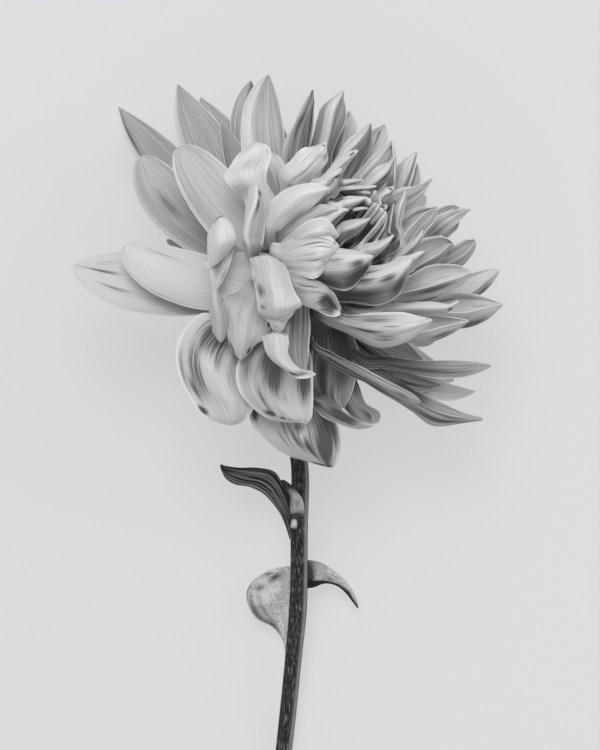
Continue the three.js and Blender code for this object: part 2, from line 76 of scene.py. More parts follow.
SPIRAL_PLACES = 150
SPIRAL_TURN = math.radians(137.508)
SPIRAL_FROM = math.radians(34)
SPIRAL_SPREAD = math.radians(90)
SPIRAL_CLEARANCE = 13.0
SPIRAL_CROWDING = 0.85
SPIRAL_REACH = 50.0
SPIRAL_SIDE_REACH = 18.0  # how much longer the petals at the sides are
SPIRAL_UNEVEN = 0.08
LOWEST_TIP = -62.0
HIGHEST_TIP = 4.0

# ---- Petals ----
# Places are in millimetres from the middle of the receptacle. Where a petal shows in the photograph, its x
# and y were chosen from it, at 3 pixels to the millimetre, and its z from how the petals overlap. A petal
# that is listed by its tip has a midline from the receptacle to the tip. A drawn petal goes through
# cross-sections from its base to its tip, each from one margin to the other. PLAIN_PETAL says what the other
# words mean.
# Directions that the inner side of a petal looks in:
LEFT = (0.05, 0.3, 0.95)
UP = (0.1, 0.2, 0.97)
LOW = (-0.2, 0.6, 0.7)


def drawn(*sections, **details):
    """A row of a petal or leaf that goes through these cross-sections."""
    return dict(sections=sections, **details)


# The large pale petals that fan out to the left, with the one that lies in front of them.
LEFT_FAN = [
    dict(
        tip=(-60, 64, -22), mid=(-36, 35, -14), wide=17, blunt=0.95, cup=0.9, face=LEFT, tone=(0.1, 0.5),
        pleat=0.08, roll=(1.2, 0), folds=((-0.72, -0.6, 0, 0.6),), marks=((-0.55, 0.86, 0.16, 0.16, 0.8),),
    ),
    dict(
        tip=(-40, 71.3, -16), mid=(-24.5, 39, -6), wide=19, blunt=0.9, cup=0.9, face=LEFT, tone=(0.1, 0.5),
        pleat=0.08, roll=(1.6, 0), folds=((-0.78, -0.6, 0, 0.6),), marks=((-0.6, 0.8, 0.1, 0.25, 0.3),),
    ),
    dict(
        tip=(-32.5, 67.5, -34), mid=(-18, 36, -18), wide=20, blunt=0.9, cup=0.9, face=LEFT, tone=(0.3, 0.4),
    ),
    dict(
        tip=(-52, 47, 0), mid=(-35.5, 24.5, 2), wide=20, blunt=0.5, hook=4, face=LEFT, tone=(0.25, 0.3),
        pleat=0.08, roll=(0.8, 0.4), folds=((-0.82, -0.4, 0, 0.5),),
        marks=((-0.1, 0.66, 0.4, 0.16, 0.55), (-0.45, 0.5, 0.25, 0.2, 0.4)),
    ),
    dict(
        tip=(-39, 50, 16), mid=(-22.5, 26.5, 16), wide=21, blunt=0.5, cup=1.1, hook=4, face=LEFT,
        tone=(0, 0.3), shade=0, pleat=0.07, roll=(0.8, 0.3), folds=((-0.85, -0.3, 0, 0.4),),
        marks=((-0.55, 0.62, 0.25, 0.22, 0.4),),
    ),
    dict(
        tip=(-74.5, 10.5, 4), mid=(-44, 3, 11), wide=23, cup=1, hook=2, face=LEFT, tone=(0, 0.05), shade=0,
        roll=(0.6, 0.3), creases=((0.22, 0.84, 0.14, 0.5), (-0.3, 0.74, 0.12, 0.35)),
        marks=((0.55, 0.84, 0.3, 0.12, 0.35),),
    ),
    dict(
        tip=(-57.5, 16.5, 14), mid=(-33.5, 4, 16), wide=21, blunt=0.5, cup=1.3, hook=6, face=LEFT,
        tone=(0, 0.03), shade=0, roll=(0.8, 0.3),
        marks=((0.6, 0.8, 0.2, 0.25, 0.4), (-0.93, 0.6, 0.07, 0.35, 0.7)),
    ),
    dict(tip=(-28, 7, 38), root=(-10, 3, 28), wide=22, blunt=0.45, cup=0.6, face=UP, shade=0),
]
# The crown's upright petals, along the top and the upper right, with four short ones on the far side.
CROWN_PETALS = [
    dict(
        tip=(-15.5, 72.5, -14), mid=(-14, 45, -6), wide=15, blunt=0.9, cup=1, face=UP, tone=(0.5, 0.6),
        shade=0.2, back=0.4, pleat=0.08, folds=((0.1, -0.1, 0.15, 0.4),), marks=((0.5, 0.8, 0.2, 0.2, 0.4),),
    ),
    dict(
        tip=(-9.5, 74, 2), mid=(-11, 46, 6), cup=1.1, face=UP, tone=(0.15, 0.5), shade=0.2, back=0.4,
        pleat=0.08, roll=(1.5, 0.3), folds=((-0.42, -0.45, 0, 0.6),),
        creases=((-0.45, 0.72, 0.2, 0.3), (-0.25, 0.7, 0.2, 0.2)),
    ),
    dict(tip=(-15, 46, 10), mid=(-12, 34, 18), wide=13, face=UP, tone=(0.2, 0.2), back=0.2),
    dict(tip=(0, 45, 10), mid=(0, 33, 18), wide=12, face=UP, tone=(0.2, 0.2), back=0.2),
    dict(tip=(-10, 48, 10), mid=(-8, 36, 18), wide=12, face=UP, tone=(0.2, 0.2), back=0.2),
    dict(tip=(4, 41, 10), mid=(3, 30, 18), wide=12, face=UP, tone=(0.2, 0.2), back=0.2),
    drawn(
        [(-5, 35.7, 6), (-1.7, 35.7, 9), (2, 35.7, 6)], [(-5.5, 44, 7), (-1.3, 44.7, 10), (3.7, 44.7, 7)],
        [(-4.8, 50.7, 8), (-0.3, 51.3, 11), (5, 50.7, 8)], [(-2.5, 56, 8), (1, 57.3, 12), (6.2, 57.3, 9)],
        [(0.2, 61.3, 8), (3.3, 62, 12), (6.2, 62.7, 9)], [(2.7, 65.8, 8), (4.7, 65.7, 10), (6, 65.3, 9)],
        [(5, 68.7, 8), (5.2, 68.7, 8.5), (5.4, 68.7, 8)],
        tone=(0, 0.12), back=0.4, folds=((-0.5, 0, 0.55, 0.5), (0.42, 0, 0.12, 0.4)),
        marks=(
            (0.05, 0.62, 0.08, 0.12, 1), (0.3, 0.5, 0.03, 0.3, 0.7), (-0.35, 0.75, 0.1, 0.2, 0.3),
            (-0.15, 0.6, 0.2, 0.25, 0.8), (0.35, 0.5, 0.15, 0.25, 0.6),
        ),
    ),
    drawn(
        [(3, 35.7, -6), (4, 35.7, -5), (5.7, 35.7, -6)], [(4, 45.7, -5), (5.3, 45.7, -4), (7, 45.7, -5)],
        [(5.3, 54, -5), (7, 54, -3), (9, 54, -4)], [(6.7, 59, -5), (8, 59.3, -4), (9.7, 59.3, -5)],
        [(8, 62, -5), (8.3, 62.2, -5), (8.7, 62, -5)],
        tone=(0.5, 0.55), shade=0.2, back=0.4,
    ),
    drawn(
        [(2.3, 35.7, 2), (6.7, 35.7, 5), (11, 36.3, 2)], [(4.3, 45.7, 2), (8.3, 45.7, 6), (12.3, 47, 3)],
        [(5.5, 54, 2), (10.3, 54.7, 7), (15, 53, 3)], [(6.5, 60.7, 3), (11.7, 61.7, 7), (17.2, 58.3, 3)],
        [(8.2, 63.8, 3), (13.3, 65.3, 6), (17, 63.3, 3)],
        [(11.7, 66.7, 2), (14.7, 67.3, 4), (16.3, 66.3, 2)],
        [(15.2, 68.7, 1), (15.4, 68.7, 1.2), (15.7, 68.6, 1)],
        tone=(0.02, 0.08), back=0.4, folds=((-0.42, 0.35, 0, 0.8), (0.12, 0, 0.5, 0.3)),
        marks=((0.35, 0.5, 0.05, 0.2, 0.9), (-0.42, 0.55, 0.04, 0.2, 0.7), (0.5, 0.72, 0.15, 0.12, 0.35)),
    ),
    drawn(
        [(9.3, 37.3, -12), (12, 37.3, -10), (15.3, 38, -12)],
        [(12, 49, -11), (14.7, 49, -9), (18.3, 49, -11)],
        [(14.7, 56.3, -11), (16.7, 56.7, -9), (20, 55.7, -12)],
        [(16.7, 60.7, -12), (17.7, 60.7, -11), (19, 59.7, -13)],
        [(17.3, 62.3, -13), (17.5, 62.4, -13), (17.7, 62.3, -13)],
        tone=(0.1, 0.2), side=(0.5, 0), back=0.4, marks=((0.15, 0.6, 0.05, 0.22, 0.8),),
    ),
    drawn(
        [(8.3, 35.7, 12), (11, 35, 15), (16, 34.3, 12)], [(10.7, 43, 12), (13, 42.3, 16), (19.7, 39.7, 11)],
        [(13.7, 49, 12), (16.3, 47.3, 17), (23, 44.7, 10)], [(17.3, 53, 12), (20, 51, 16), (25.5, 49.7, 10)],
        [(21, 55.7, 11), (22.7, 54.3, 14), (25.5, 53.7, 10)],
        [(24.3, 57.6, 10), (24.5, 57.5, 10.5), (24.7, 57.3, 10)],
        tone=(0, 0.05), side=(0, 0.1), folds=((0.02, 0, 0.6, 0.9),),
        marks=((0.45, 0.8, 0.25, 0.1, 0.4), (0.1, 0.55, 0.03, 0.25, 0.6)),
    ),
    drawn(
        [(17.7, 39, -10), (20.3, 39.7, -8), (23.7, 39.7, -10)],
        [(20.3, 46.3, -9), (23, 46.7, -7), (27, 45.7, -9)], [(23, 52, -8), (25.7, 52, -6), (29.7, 50.7, -9)],
        [(25, 55.7, -7), (27.3, 55.3, -6), (30.3, 53.7, -8)],
        [(29.2, 57.7, -6), (29.4, 57.7, -6), (29.7, 57.5, -6)],
        tone=(0.1, 0.25), folds=((0.35, 0.1, -0.2, 0.4),),
        marks=((0.1, 0.75, 0.12, 0.12, 0.8), (-0.3, 0.8, 0.08, 0.1, 0.5), (0.15, 0.6, 0.05, 0.22, 0.8)),
    ),
    drawn(
        [(16, 34, 12), (19.3, 33.7, 14), (24.3, 33, 12)],
        [(18.3, 40.3, 12), (22.3, 39.7, 15), (28.3, 37.7, 12)],
        [(22, 44.7, 11), (26.3, 44.3, 14), (33, 41.7, 12)],
        [(26, 48.3, 10), (29.3, 47.7, 13), (33.3, 45.7, 12)],
        [(29, 50.2, 9), (30.7, 49.7, 11), (32.7, 48.3, 11)],
        [(31, 51.7, 8), (31.3, 51.7, 8.5), (31.8, 51.5, 8.5)],
        tone=(0, 0.05), shade=0.08, folds=((-0.1, 0, 0.4, 0.6), (0.55, 0, -0.35, 0.3)),
        marks=((0.25, 0.84, 0.15, 0.06, 1.1), (-0.1, 0.72, 0.05, 0.12, 0.9), (-0.5, 0.75, 0.05, 0.1, 0.5)),
    ),
    drawn(
        [(17.7, 31.7, 18), (20.3, 30.7, 22), (23.7, 29.7, 18)], [(20, 37, 18), (23, 35.7, 23), (27, 34, 18)],
        [(23.3, 41, 18), (26.3, 38.7, 23), (29, 36.3, 19)],
        [(27, 43.7, 17), (29.3, 41.3, 21), (30.7, 39, 19)], [(30, 45, 17), (31, 43.7, 19), (31.5, 42.3, 18)],
        [(32, 45.8, 17), (32.2, 45.7, 17.2), (32.3, 45.5, 17)],
        tone=(0, 0.02), shade=0.08, folds=((0.12, 0, 0.65, 0.8),),
        marks=((0.35, 0.62, 0.2, 0.15, 0.8), (-0.15, 0.45, 0.06, 0.15, 0.5)),
    ),
    drawn(
        [(30.7, 32.7, 5), (31.5, 32.3, 7), (32.7, 32.3, 5)],
        [(31, 35.7, 11), (32, 35.7, 13), (33, 35.7, 11)],
        [(31.5, 40.3, 15), (32.3, 40.3, 17), (33.3, 40.3, 15)],
        [(31.4, 44.7, 14), (32.2, 44.7, 16), (33, 45, 14)],
        [(31.3, 48.3, 12), (31.9, 48.3, 14), (32.5, 48.5, 12)],
        [(31.3, 51.4, 11), (31.6, 51.5, 11.3), (31.9, 51.2, 11)],
        rooted=False, side=(0.2, 0), shade=0, pleat=0.02, wave=0, folds=((0.25, 0, 0.6, 0.4),),
    ),
    drawn(
        [(27, 32.3, 0), (30.3, 31.7, 2), (34.3, 31, 0)], [(29.7, 38.3, 0), (33.3, 37.7, 3), (37.3, 35.7, 0)],
        [(32.3, 43, 0), (35.7, 43, 3), (38.7, 40.3, 0)], [(35, 46, 0), (37.3, 45.7, 2), (39.8, 44.3, 0)],
        [(37.7, 47.5, -1), (38.7, 47.3, 0), (40, 46.7, -1)],
        [(39.3, 48.3, -2), (39.5, 48.3, -2), (39.8, 48.2, -2)],
        tone=(0, 0.05), folds=((0.5, 0, 0.65, 0.5), (0.78, 0, -0.6, 0)),
        marks=((-0.1, 0.75, 0.15, 0.1, 0.3), (0.15, 0.6, 0.05, 0.22, 0.8)),
    ),
    drawn(
        [(34.3, 30.7, -10), (36, 30.7, -9), (38.3, 30.7, -10)],
        [(37, 37.3, -9), (38.7, 37.7, -8), (41, 37, -9)], [(39, 42, -9), (40, 42, -8), (41.2, 41, -9)],
        [(40.2, 44.7, -9), (40.3, 44.7, -9), (40.5, 44.5, -9)],
        tone=(0.15, 0.2), side=(0.3, 0), shade=0.2,
    ),
    drawn(
        [(27, 30.7, 14), (29, 29, 16), (31.7, 26.3, 13)],
        [(31, 35.3, 13), (33.7, 32.3, 17), (36.3, 27.7, 12)],
        [(35, 36.7, 12), (37.7, 34.3, 16), (39.7, 30.3, 12)],
        [(38.7, 37.5, 11), (41, 36, 14), (42.3, 33.7, 12)],
        [(42, 38.3, 10), (43.3, 37.7, 12), (44, 36.7, 11)],
        [(44.5, 39.2, 9), (44.7, 39, 9.3), (44.8, 38.8, 9)],
        tone=(0, 0.05), folds=((-0.5, 0, 0.35, 0.3), (0.4, 0, -0.35, 0.6)),
        marks=((0.42, 0.62, 0.04, 0.3, 1.1), (0.78, 0.72, 0.04, 0.25, 1), (0.15, 0.6, 0.05, 0.22, 0.8)),
    ),
    drawn(
        [(30.3, 18, 20), (32, 17.3, 22), (33.7, 17, 20)], [(31, 24.3, 23), (32.8, 24, 25), (34.7, 23.7, 23)],
        [(32, 29.3, 24), (33.8, 29, 26), (35.7, 29, 24)], [(34, 32.5, 24), (35, 32.3, 25.5), (36.2, 32, 24)],
        [(35.7, 34.8, 24), (35.8, 34.8, 24.3), (36, 34.7, 24)],
        shade=0, pleat=0.03, wave=0, folds=((0.2, 0, 0.45, 0.3), (0.55, 0, -0.35, 0)),
    ),
]
# The boat-shaped petals on the right.
BOATS = [
    drawn(
        [(44.3, 4.7, 12), (44.3, 2.3, 9), (44.3, -1, 11), (44.3, 0, 15)],
        [(51.7, 5.3, 9), (51.7, 3.3, 6), (52.7, -0.3, 8), (52, 0.7, 12)],
        [(57.7, 8, 7), (58, 5.7, 5), (59.7, 0.7, 6), (58.7, 2.3, 10)],
        [(62.7, 9.3, 5), (63, 7.7, 4), (64, 3.7, 5), (63, 5.7, 8)],
        [(67, 9.5, 4), (67, 9, 4), (67.3, 8.5, 4), (67, 8.8, 5)],
        tone=(0, 0.05), shade=0.25, back=0.4,
        marks=(
            (-0.5, 0.7, 0.15, 0.2, 0.25), (0.6, 0.72, 0.3, 0.2, 0.75), (-0.2, 0.6, 0.06, 0.2, 0.6),
            (0.15, 0.5, 0.05, 0.2, 0.6),
        ),
    ),
    drawn(
        [(34.3, -2.7, 18), (34.3, -5, 14), (35, -9, 16), (34.7, -6.3, 21)],
        [(45, -1, 17), (45, -3.3, 13), (46.3, -9.7, 14), (45.3, -5.7, 20)],
        [(53.7, 1.3, 15), (54, -1.7, 11), (55.3, -10.3, 11), (54.3, -5.2, 18)],
        [(61, 0.3, 13), (61.3, -1.7, 11), (62.7, -7.7, 11), (61.7, -3.8, 15)],
        [(68, -2, 12), (68.2, -2.3, 12), (68.3, -2.7, 12), (68.2, -2.4, 12.5)],
        tone=(0.05, 0.05), shade=0.2, back=0.4,
        marks=(
            (-0.5, 0.7, 0.2, 0.1, 0.4), (-0.6, 0.5, 0.15, 0.1, 0.5), (0.55, 0.66, 0.35, 0.25, 0.8),
            (0.1, 0.75, 0.06, 0.14, 0.7), (-0.2, 0.8, 0.05, 0.12, 0.6),
        ),
    ),
    drawn(
        [(26, 1.7, 30), (26, 0, 26), (27, -3, 27), (26.3, -1.3, 32)],
        [(35, 6, 30), (35.3, 3.3, 26), (36, -1.7, 26), (35.3, 1.7, 31)],
        [(43.7, 10, 29), (44.3, 6.7, 25), (45.7, 0.3, 25), (44.7, 3.7, 30)],
        [(51.3, 10.7, 28), (51.7, 8.3, 25), (53, 3.3, 25), (52, 6, 29)],
        [(57.3, 8.7, 26), (57.5, 8.2, 26), (57.7, 7.5, 26), (57.5, 7.9, 27)],
        shade=0.2, back=0.4,
        marks=(
            (-0.75, 0.7, 0.12, 0.1, 0.3), (0.8, 0.6, 0.18, 0.25, 0.8), (0.1, 0.55, 0.05, 0.2, 0.6),
            (-0.2, 0.65, 0.05, 0.18, 0.6), (0.4, 0.45, 0.07, 0.2, 0.6),
        ),
    ),
    drawn(
        [(24.3, -6.3, 28), (24.3, -8.7, 25), (25, -13.7, 26), (24.7, -11.3, 31)],
        [(33.7, -5.7, 29), (34, -8.3, 25), (35, -15, 25), (34.3, -12.3, 31)],
        [(41.7, -6, 29), (42.3, -8, 25), (43.7, -15, 24), (42.7, -11.3, 30)],
        [(49.3, -6.7, 28.5), (49.7, -7.7, 26), (51, -12.3, 25), (50, -9.7, 29)],
        [(56.3, -7.8, 28), (56.5, -8, 28), (56.7, -8.3, 27.5), (56.5, -8.2, 28.5)],
        tone=(0.05, 0.05), shade=0.2, back=0.4,
        marks=(
            (-0.5, 0.45, 0.35, 0.16, 1.1), (0.8, 0.6, 0.04, 0.2, 0.3), (0.6, 0.72, 0.25, 0.16, 0.7),
            (0, 0.8, 0.06, 0.12, 0.7),
        ),
    ),
    drawn(
        [(8.3, -3, 26), (8.3, -8.3, 31), (8.3, -5.7, 37), (8.3, -3, 36)],
        [(16, -6.3, 28), (16.7, -12, 33), (16.7, -9.3, 42), (16.7, -6.2, 41)],
        [(25, -5.7, 32), (26, -16.7, 36), (25.7, -11.3, 46), (25.3, -5.5, 44)],
        [(33.7, -5.7, 37), (35, -15.3, 40), (34.3, -11, 48), (34, -5.3, 46.5)],
        [(40.3, -6.7, 42), (41, -11.3, 43), (40.7, -9.3, 48), (40.3, -6.8, 47)],
        [(44, -7.5, 45), (44.3, -8.2, 45), (44.3, -8, 46.5), (44.2, -7.7, 46)],
        tone=(0.3, 0.1), shade=0.2, back=0, pleat=0.25, ridges=5,
        marks=(
            (-0.8, 0.6, 0.22, 0.18, 0.9), (-0.35, 0.8, 0.06, 0.12, 0.7), (0.3, 0.45, 0.09, 0.12, 1),
            (0.12, 0.56, 0.07, 0.1, 0.85), (0.45, 0.6, 0.06, 0.08, 0.7), (-0.15, 0.42, 0.1, 0.1, 0.6),
            (-0.65, 0.75, 0.3, 0.18, 1), (-0.8, 0.5, 0.2, 0.15, 0.7), (0.75, 0.93, 0.06, 0.03, 1),
            (0.9, 0.3, 0.25, 0.16, 0.9), (0.75, 0.5, 0.2, 0.16, 0.7),
        ),
    ),
    drawn(
        [(38.3, 20.3, 2), (40.3, 19.7, 0), (42.3, 19, 2)], [(42.3, 25.3, 3), (44.7, 23.7, 0), (47, 21.7, 3)],
        [(46, 28.3, 3), (48.3, 27, 0), (50.7, 25, 3)], [(49.7, 30, 3), (51, 29, 1), (53, 27.7, 3)],
        [(52.7, 30.7, 3), (53.3, 30.3, 2.5), (54.2, 29.5, 3)],
        tone=(0.12, 0.08), folds=((0.3, 0, 0.45, 0.5),),
        marks=((-0.3, 0.55, 0.12, 0.2, 0.4), (0.4, 0.5, 0.07, 0.22, 0.8), (-0.3, 0.38, 0.12, 0.14, 0.6)),
    ),
    drawn(
        [(37.7, 17, 8), (39, 16.3, 6), (41, 15, 8)], [(42.3, 22, 9), (44, 20.3, 6), (45.3, 18.3, 9)],
        [(47, 26, 10), (48.7, 24.3, 7), (50.7, 23, 10)], [(51.7, 28.2, 10), (53, 27.3, 8), (54.7, 26.3, 10)],
        [(55.3, 29.2, 10), (56.2, 28.8, 9.5), (57, 28.3, 10)],
        [(57.4, 29.1, 10), (57.6, 29, 10), (57.7, 28.8, 10)],
        tone=(0.02, 0.02), folds=((0.3, 0, 0.35, 0.5),),
        marks=((-0.3, 0.6, 0.12, 0.2, 0.35), (0.4, 0.5, 0.07, 0.22, 0.8), (-0.3, 0.38, 0.12, 0.14, 0.6)),
    ),
    drawn(
        [(38.3, 14.3, 4), (39.7, 13.7, 3), (41.7, 13, 4)], [(44.3, 19, 4), (45.7, 18.3, 3), (47, 17.7, 4)],
        [(48.7, 21.7, 4), (50, 20.7, 3), (51, 20.3, 4)], [(52, 24, 4), (52.7, 23, 3), (53.3, 22.7, 4)],
        [(53.7, 25.5, 4), (53.9, 25.3, 4), (54, 25.1, 4)],
        tone=(0.05, 0.05), shade=0.05, marks=((-0.3, 0.48, 0.4, 0.12, 0.9),),
    ),
    drawn(
        [(25.7, 8.3, 20), (27, 7, 22), (29, 5.7, 20)], [(28.3, 13.7, 20), (30, 13, 22), (32.3, 11.7, 20)],
        [(31.7, 18.3, 20), (33, 17.7, 22), (35, 16.7, 20)], [(35, 23, 19), (36, 22.7, 20), (37, 22, 19)],
        tone=(0.3, 0.2), shade=0.1, folds=((0.1, 0, 0.15, 0.3),),
    ),
    drawn(
        [(30.3, 19, 18), (32.3, 17, 15), (34.3, 15, 18)],
        [(33.7, 24.3, 18), (35.7, 21.7, 14), (38.3, 18.3, 17)],
        [(37.3, 27.8, 17), (39, 25, 13), (41.7, 21, 17)],
        [(41.3, 29.2, 17), (42.7, 27.3, 14), (44.7, 25, 17)],
        [(44.7, 29.5, 17), (45.3, 29, 16), (46, 27.7, 17)],
        [(46.3, 29.9, 17), (46.5, 29.7, 17), (46.5, 29.3, 17)],
        tone=(0.15, 0.1), folds=((0.25, 0, 0.25, 0.4),),
        marks=(
            (-0.4, 0.72, 0.12, 0.12, 0.7), (0, 0.5, 0.3, 0.2, 0.4), (-0.6, 0.55, 0.1, 0.1, 0.4),
            (0.4, 0.5, 0.07, 0.22, 0.8), (-0.3, 0.38, 0.12, 0.14, 0.6),
        ),
    ),
    drawn(
        [(31, 13.7, 24), (33, 13, 20), (35.7, 11.7, 25)], [(35, 19, 24), (37, 18, 20), (38.7, 16.3, 25)],
        [(38.7, 23.7, 24), (40.3, 22.7, 20), (42, 20.7, 25)],
        [(41.7, 26.7, 24), (43.3, 26, 21), (44.7, 24, 25)],
        [(44.3, 28.5, 24), (45.3, 28, 23), (46.2, 26.7, 25)],
        [(45.7, 28.8, 24), (46, 28.7, 24), (46.3, 28.3, 24)],
        tone=(0.03, 0.03), folds=((0.45, 0, 0.3, 0.4),),
        marks=(
            (-0.2, 0.5, 0.1, 0.12, 0.85), (0.15, 0.62, 0.1, 0.08, 0.7), (-0.1, 0.35, 0.2, 0.12, 0.6),
            (0.1, 0.9, 0.08, 0.08, 0.6), (0.4, 0.5, 0.07, 0.22, 0.8), (-0.3, 0.38, 0.12, 0.14, 0.6),
        ),
    ),
    drawn(
        [(27.7, 9.7, 30), (29, 9, 33), (31, 8.3, 30)], [(31.3, 13.5, 31), (33, 12.7, 34), (35, 11.7, 31)],
        [(35.7, 17.2, 32), (37, 16.3, 35), (39, 15, 32)], [(39, 19.8, 33), (39.8, 19, 35), (40.8, 18, 33)],
        [(41.3, 21.8, 34), (41.5, 21.6, 34.2), (41.6, 21.3, 34)],
        tone=(0.02, 0.02), folds=((0.35, 0, 0.5, 0.5),),
        marks=((0.4, 0.5, 0.07, 0.22, 0.8), (-0.3, 0.38, 0.12, 0.14, 0.6)),
    ),
    drawn(
        [(38.3, 8.3, 8), (39, 7, 5), (40.3, 5, 5), (39.3, 6.3, 9)],
        [(44.3, 11.7, 9), (45.7, 10, 5), (47.7, 7.7, 5), (46, 9, 10)],
        [(50, 15.5, 10), (51.3, 13.3, 6), (54.3, 10.2, 6), (52, 12.3, 10)],
        [(54.3, 17.8, 10), (55.7, 16, 7), (57.7, 13.7, 7), (56.3, 15.3, 10)],
        [(57.3, 18.8, 10), (58, 18, 8), (59, 16.3, 8), (58.7, 17.7, 10)],
        [(58.9, 19.4, 9), (59.1, 19.2, 9), (59.2, 18.9, 9), (59.1, 19.1, 9.3)],
        tone=(0.05, 0.08), folds=((0.3, 0, 0.3, 0.5),),
        marks=((-0.2, 0.62, 0.15, 0.2, 0.4), (0.4, 0.5, 0.07, 0.22, 0.8), (-0.3, 0.38, 0.12, 0.14, 0.6)),
    ),
    drawn(
        [(33.7, 9.7, 24), (34, 8.3, 20), (35, 5.7, 20), (34.3, 7.3, 24)],
        [(37.7, 15, 25), (39, 11.7, 20), (40.7, 7.3, 20), (39, 9.7, 25)],
        [(41.7, 18.5, 25), (43.7, 15, 20), (46, 10.3, 20), (44, 13, 26)],
        [(46.7, 19.1, 25), (48, 17, 21), (50, 13.7, 21), (48.3, 15.7, 26)],
        [(49.7, 18.8, 25), (50.3, 18, 22), (51.5, 16.3, 23), (50.3, 17.3, 26)],
        [(51.2, 18, 25), (51.3, 17.8, 24.5), (51.6, 17.4, 24.5), (51.3, 17.7, 25)],
        tone=(0.02, 0.02), folds=((0.35, 0, 0.35, 0.6),),
        marks=(
            (0.1, 0.35, 0.25, 0.12, 0.5), (-0.4, 0.62, 0.12, 0.16, 0.45), (0.5, 0.7, 0.3, 0.1, 0.6),
            (0.4, 0.5, 0.07, 0.22, 0.8), (-0.3, 0.38, 0.12, 0.14, 0.6),
        ),
    ),
    drawn(
        [(26.3, 8.3, 40), (27.7, 7, 42), (29.7, 5.7, 40)],
        [(30.7, 11.7, 41), (32.3, 10.3, 43), (34.3, 8.7, 41)],
        [(35.3, 13.5, 42), (37, 12.3, 44), (38, 9.7, 42)],
        [(39.3, 14.7, 42), (40, 13.7, 43.5), (40, 11.8, 42)],
        [(41.7, 14.8, 42), (41.8, 14.6, 42.2), (41.8, 14.3, 42)],
        tone=(0.02, 0.02), folds=((0.35, 0, 0.5, 0.5),),
        marks=((0.4, 0.5, 0.07, 0.22, 0.8), (-0.3, 0.38, 0.12, 0.14, 0.6)),
    ),
    drawn(
        [(21, -4, 30), (21, -5.7, 33), (21.7, -7.7, 30)],
        [(29.3, -2.7, 31), (29.7, -4.3, 35), (30.3, -6.7, 31)],
        [(37.7, -1.8, 32), (38, -3.7, 36), (38.7, -6.3, 32)],
        [(45, -2, 33), (45.3, -3.7, 36), (46.3, -6, 33)], [(50, -2.3, 34), (49.7, -3.3, 36), (50, -5.5, 34)],
        [(53, -1.3, 34), (53.2, -1.7, 34.5), (53, -2.3, 34)],
        tone=(0.1, 0.02), shade=0.1, folds=((0.4, 0, 0.35, 0.3),),
        marks=((0.5, 0.86, 0.3, 0.04, 0.9), (0.4, 0.7, 0.1, 0.1, 0.4)),
    ),
    drawn(
        [(9.7, 6.3, 34), (9.7, 3, 38), (10.3, -2, 34)], [(16.3, 9, 39), (17, 4.3, 44), (18.3, -2.7, 38)],
        [(23, 10.3, 43), (24.7, 5.3, 49), (26.3, -3.3, 41)],
        [(29, 11.2, 45), (31.3, 7.3, 50), (32.7, -0.7, 44)], [(34, 12, 47), (35.3, 10.3, 49), (36, 4.7, 46)],
        [(37.3, 12.3, 48), (37.7, 11.7, 48.5), (38, 10.7, 48)],
        tone=(0.12, 0), shade=0.15, pleat=0.1, ridges=5, folds=((0.3, 0, 0.55, 0.6),),
        marks=(
            (0, 0.42, 0.2, 0.13, 0.9), (-0.45, 0.5, 0.12, 0.12, 0.6), (0.15, 0.62, 0.25, 0.1, 0.8),
            (0.7, 0.72, 0.35, 0.14, 0.9), (0.6, 0.4, 0.3, 0.2, 0.8),
        ),
    ),
    drawn(
        [(2.3, 13, 40), (2.3, 9, 44), (3, 4.3, 40)], [(7, 15.7, 44), (7.7, 10.3, 50), (9, 3.3, 44)],
        [(12.3, 16.3, 47), (14.3, 11, 54), (16.3, 1.7, 46)],
        [(17.7, 15.7, 50), (20, 12, 55), (21.3, 5.3, 48)],
        [(22.3, 14, 53), (23.3, 12.7, 55), (23.7, 9.3, 52)],
        [(24.8, 13.2, 55), (25, 12.8, 55.5), (25, 12.3, 55)],
        tone=(0.12, 0), shade=0.1, pleat=0.1, ridges=5, folds=((0.35, 0, 0.5, 0.5),),
        marks=(
            (-0.1, 0.46, 0.2, 0.12, 0.7), (-0.6, 0.42, 0.15, 0.1, 0.5), (0.25, 0.66, 0.25, 0.12, 0.9),
            (0.75, 0.66, 0.4, 0.22, 1.1), (0.8, 0.4, 0.3, 0.2, 0.7),
        ),
    ),
]
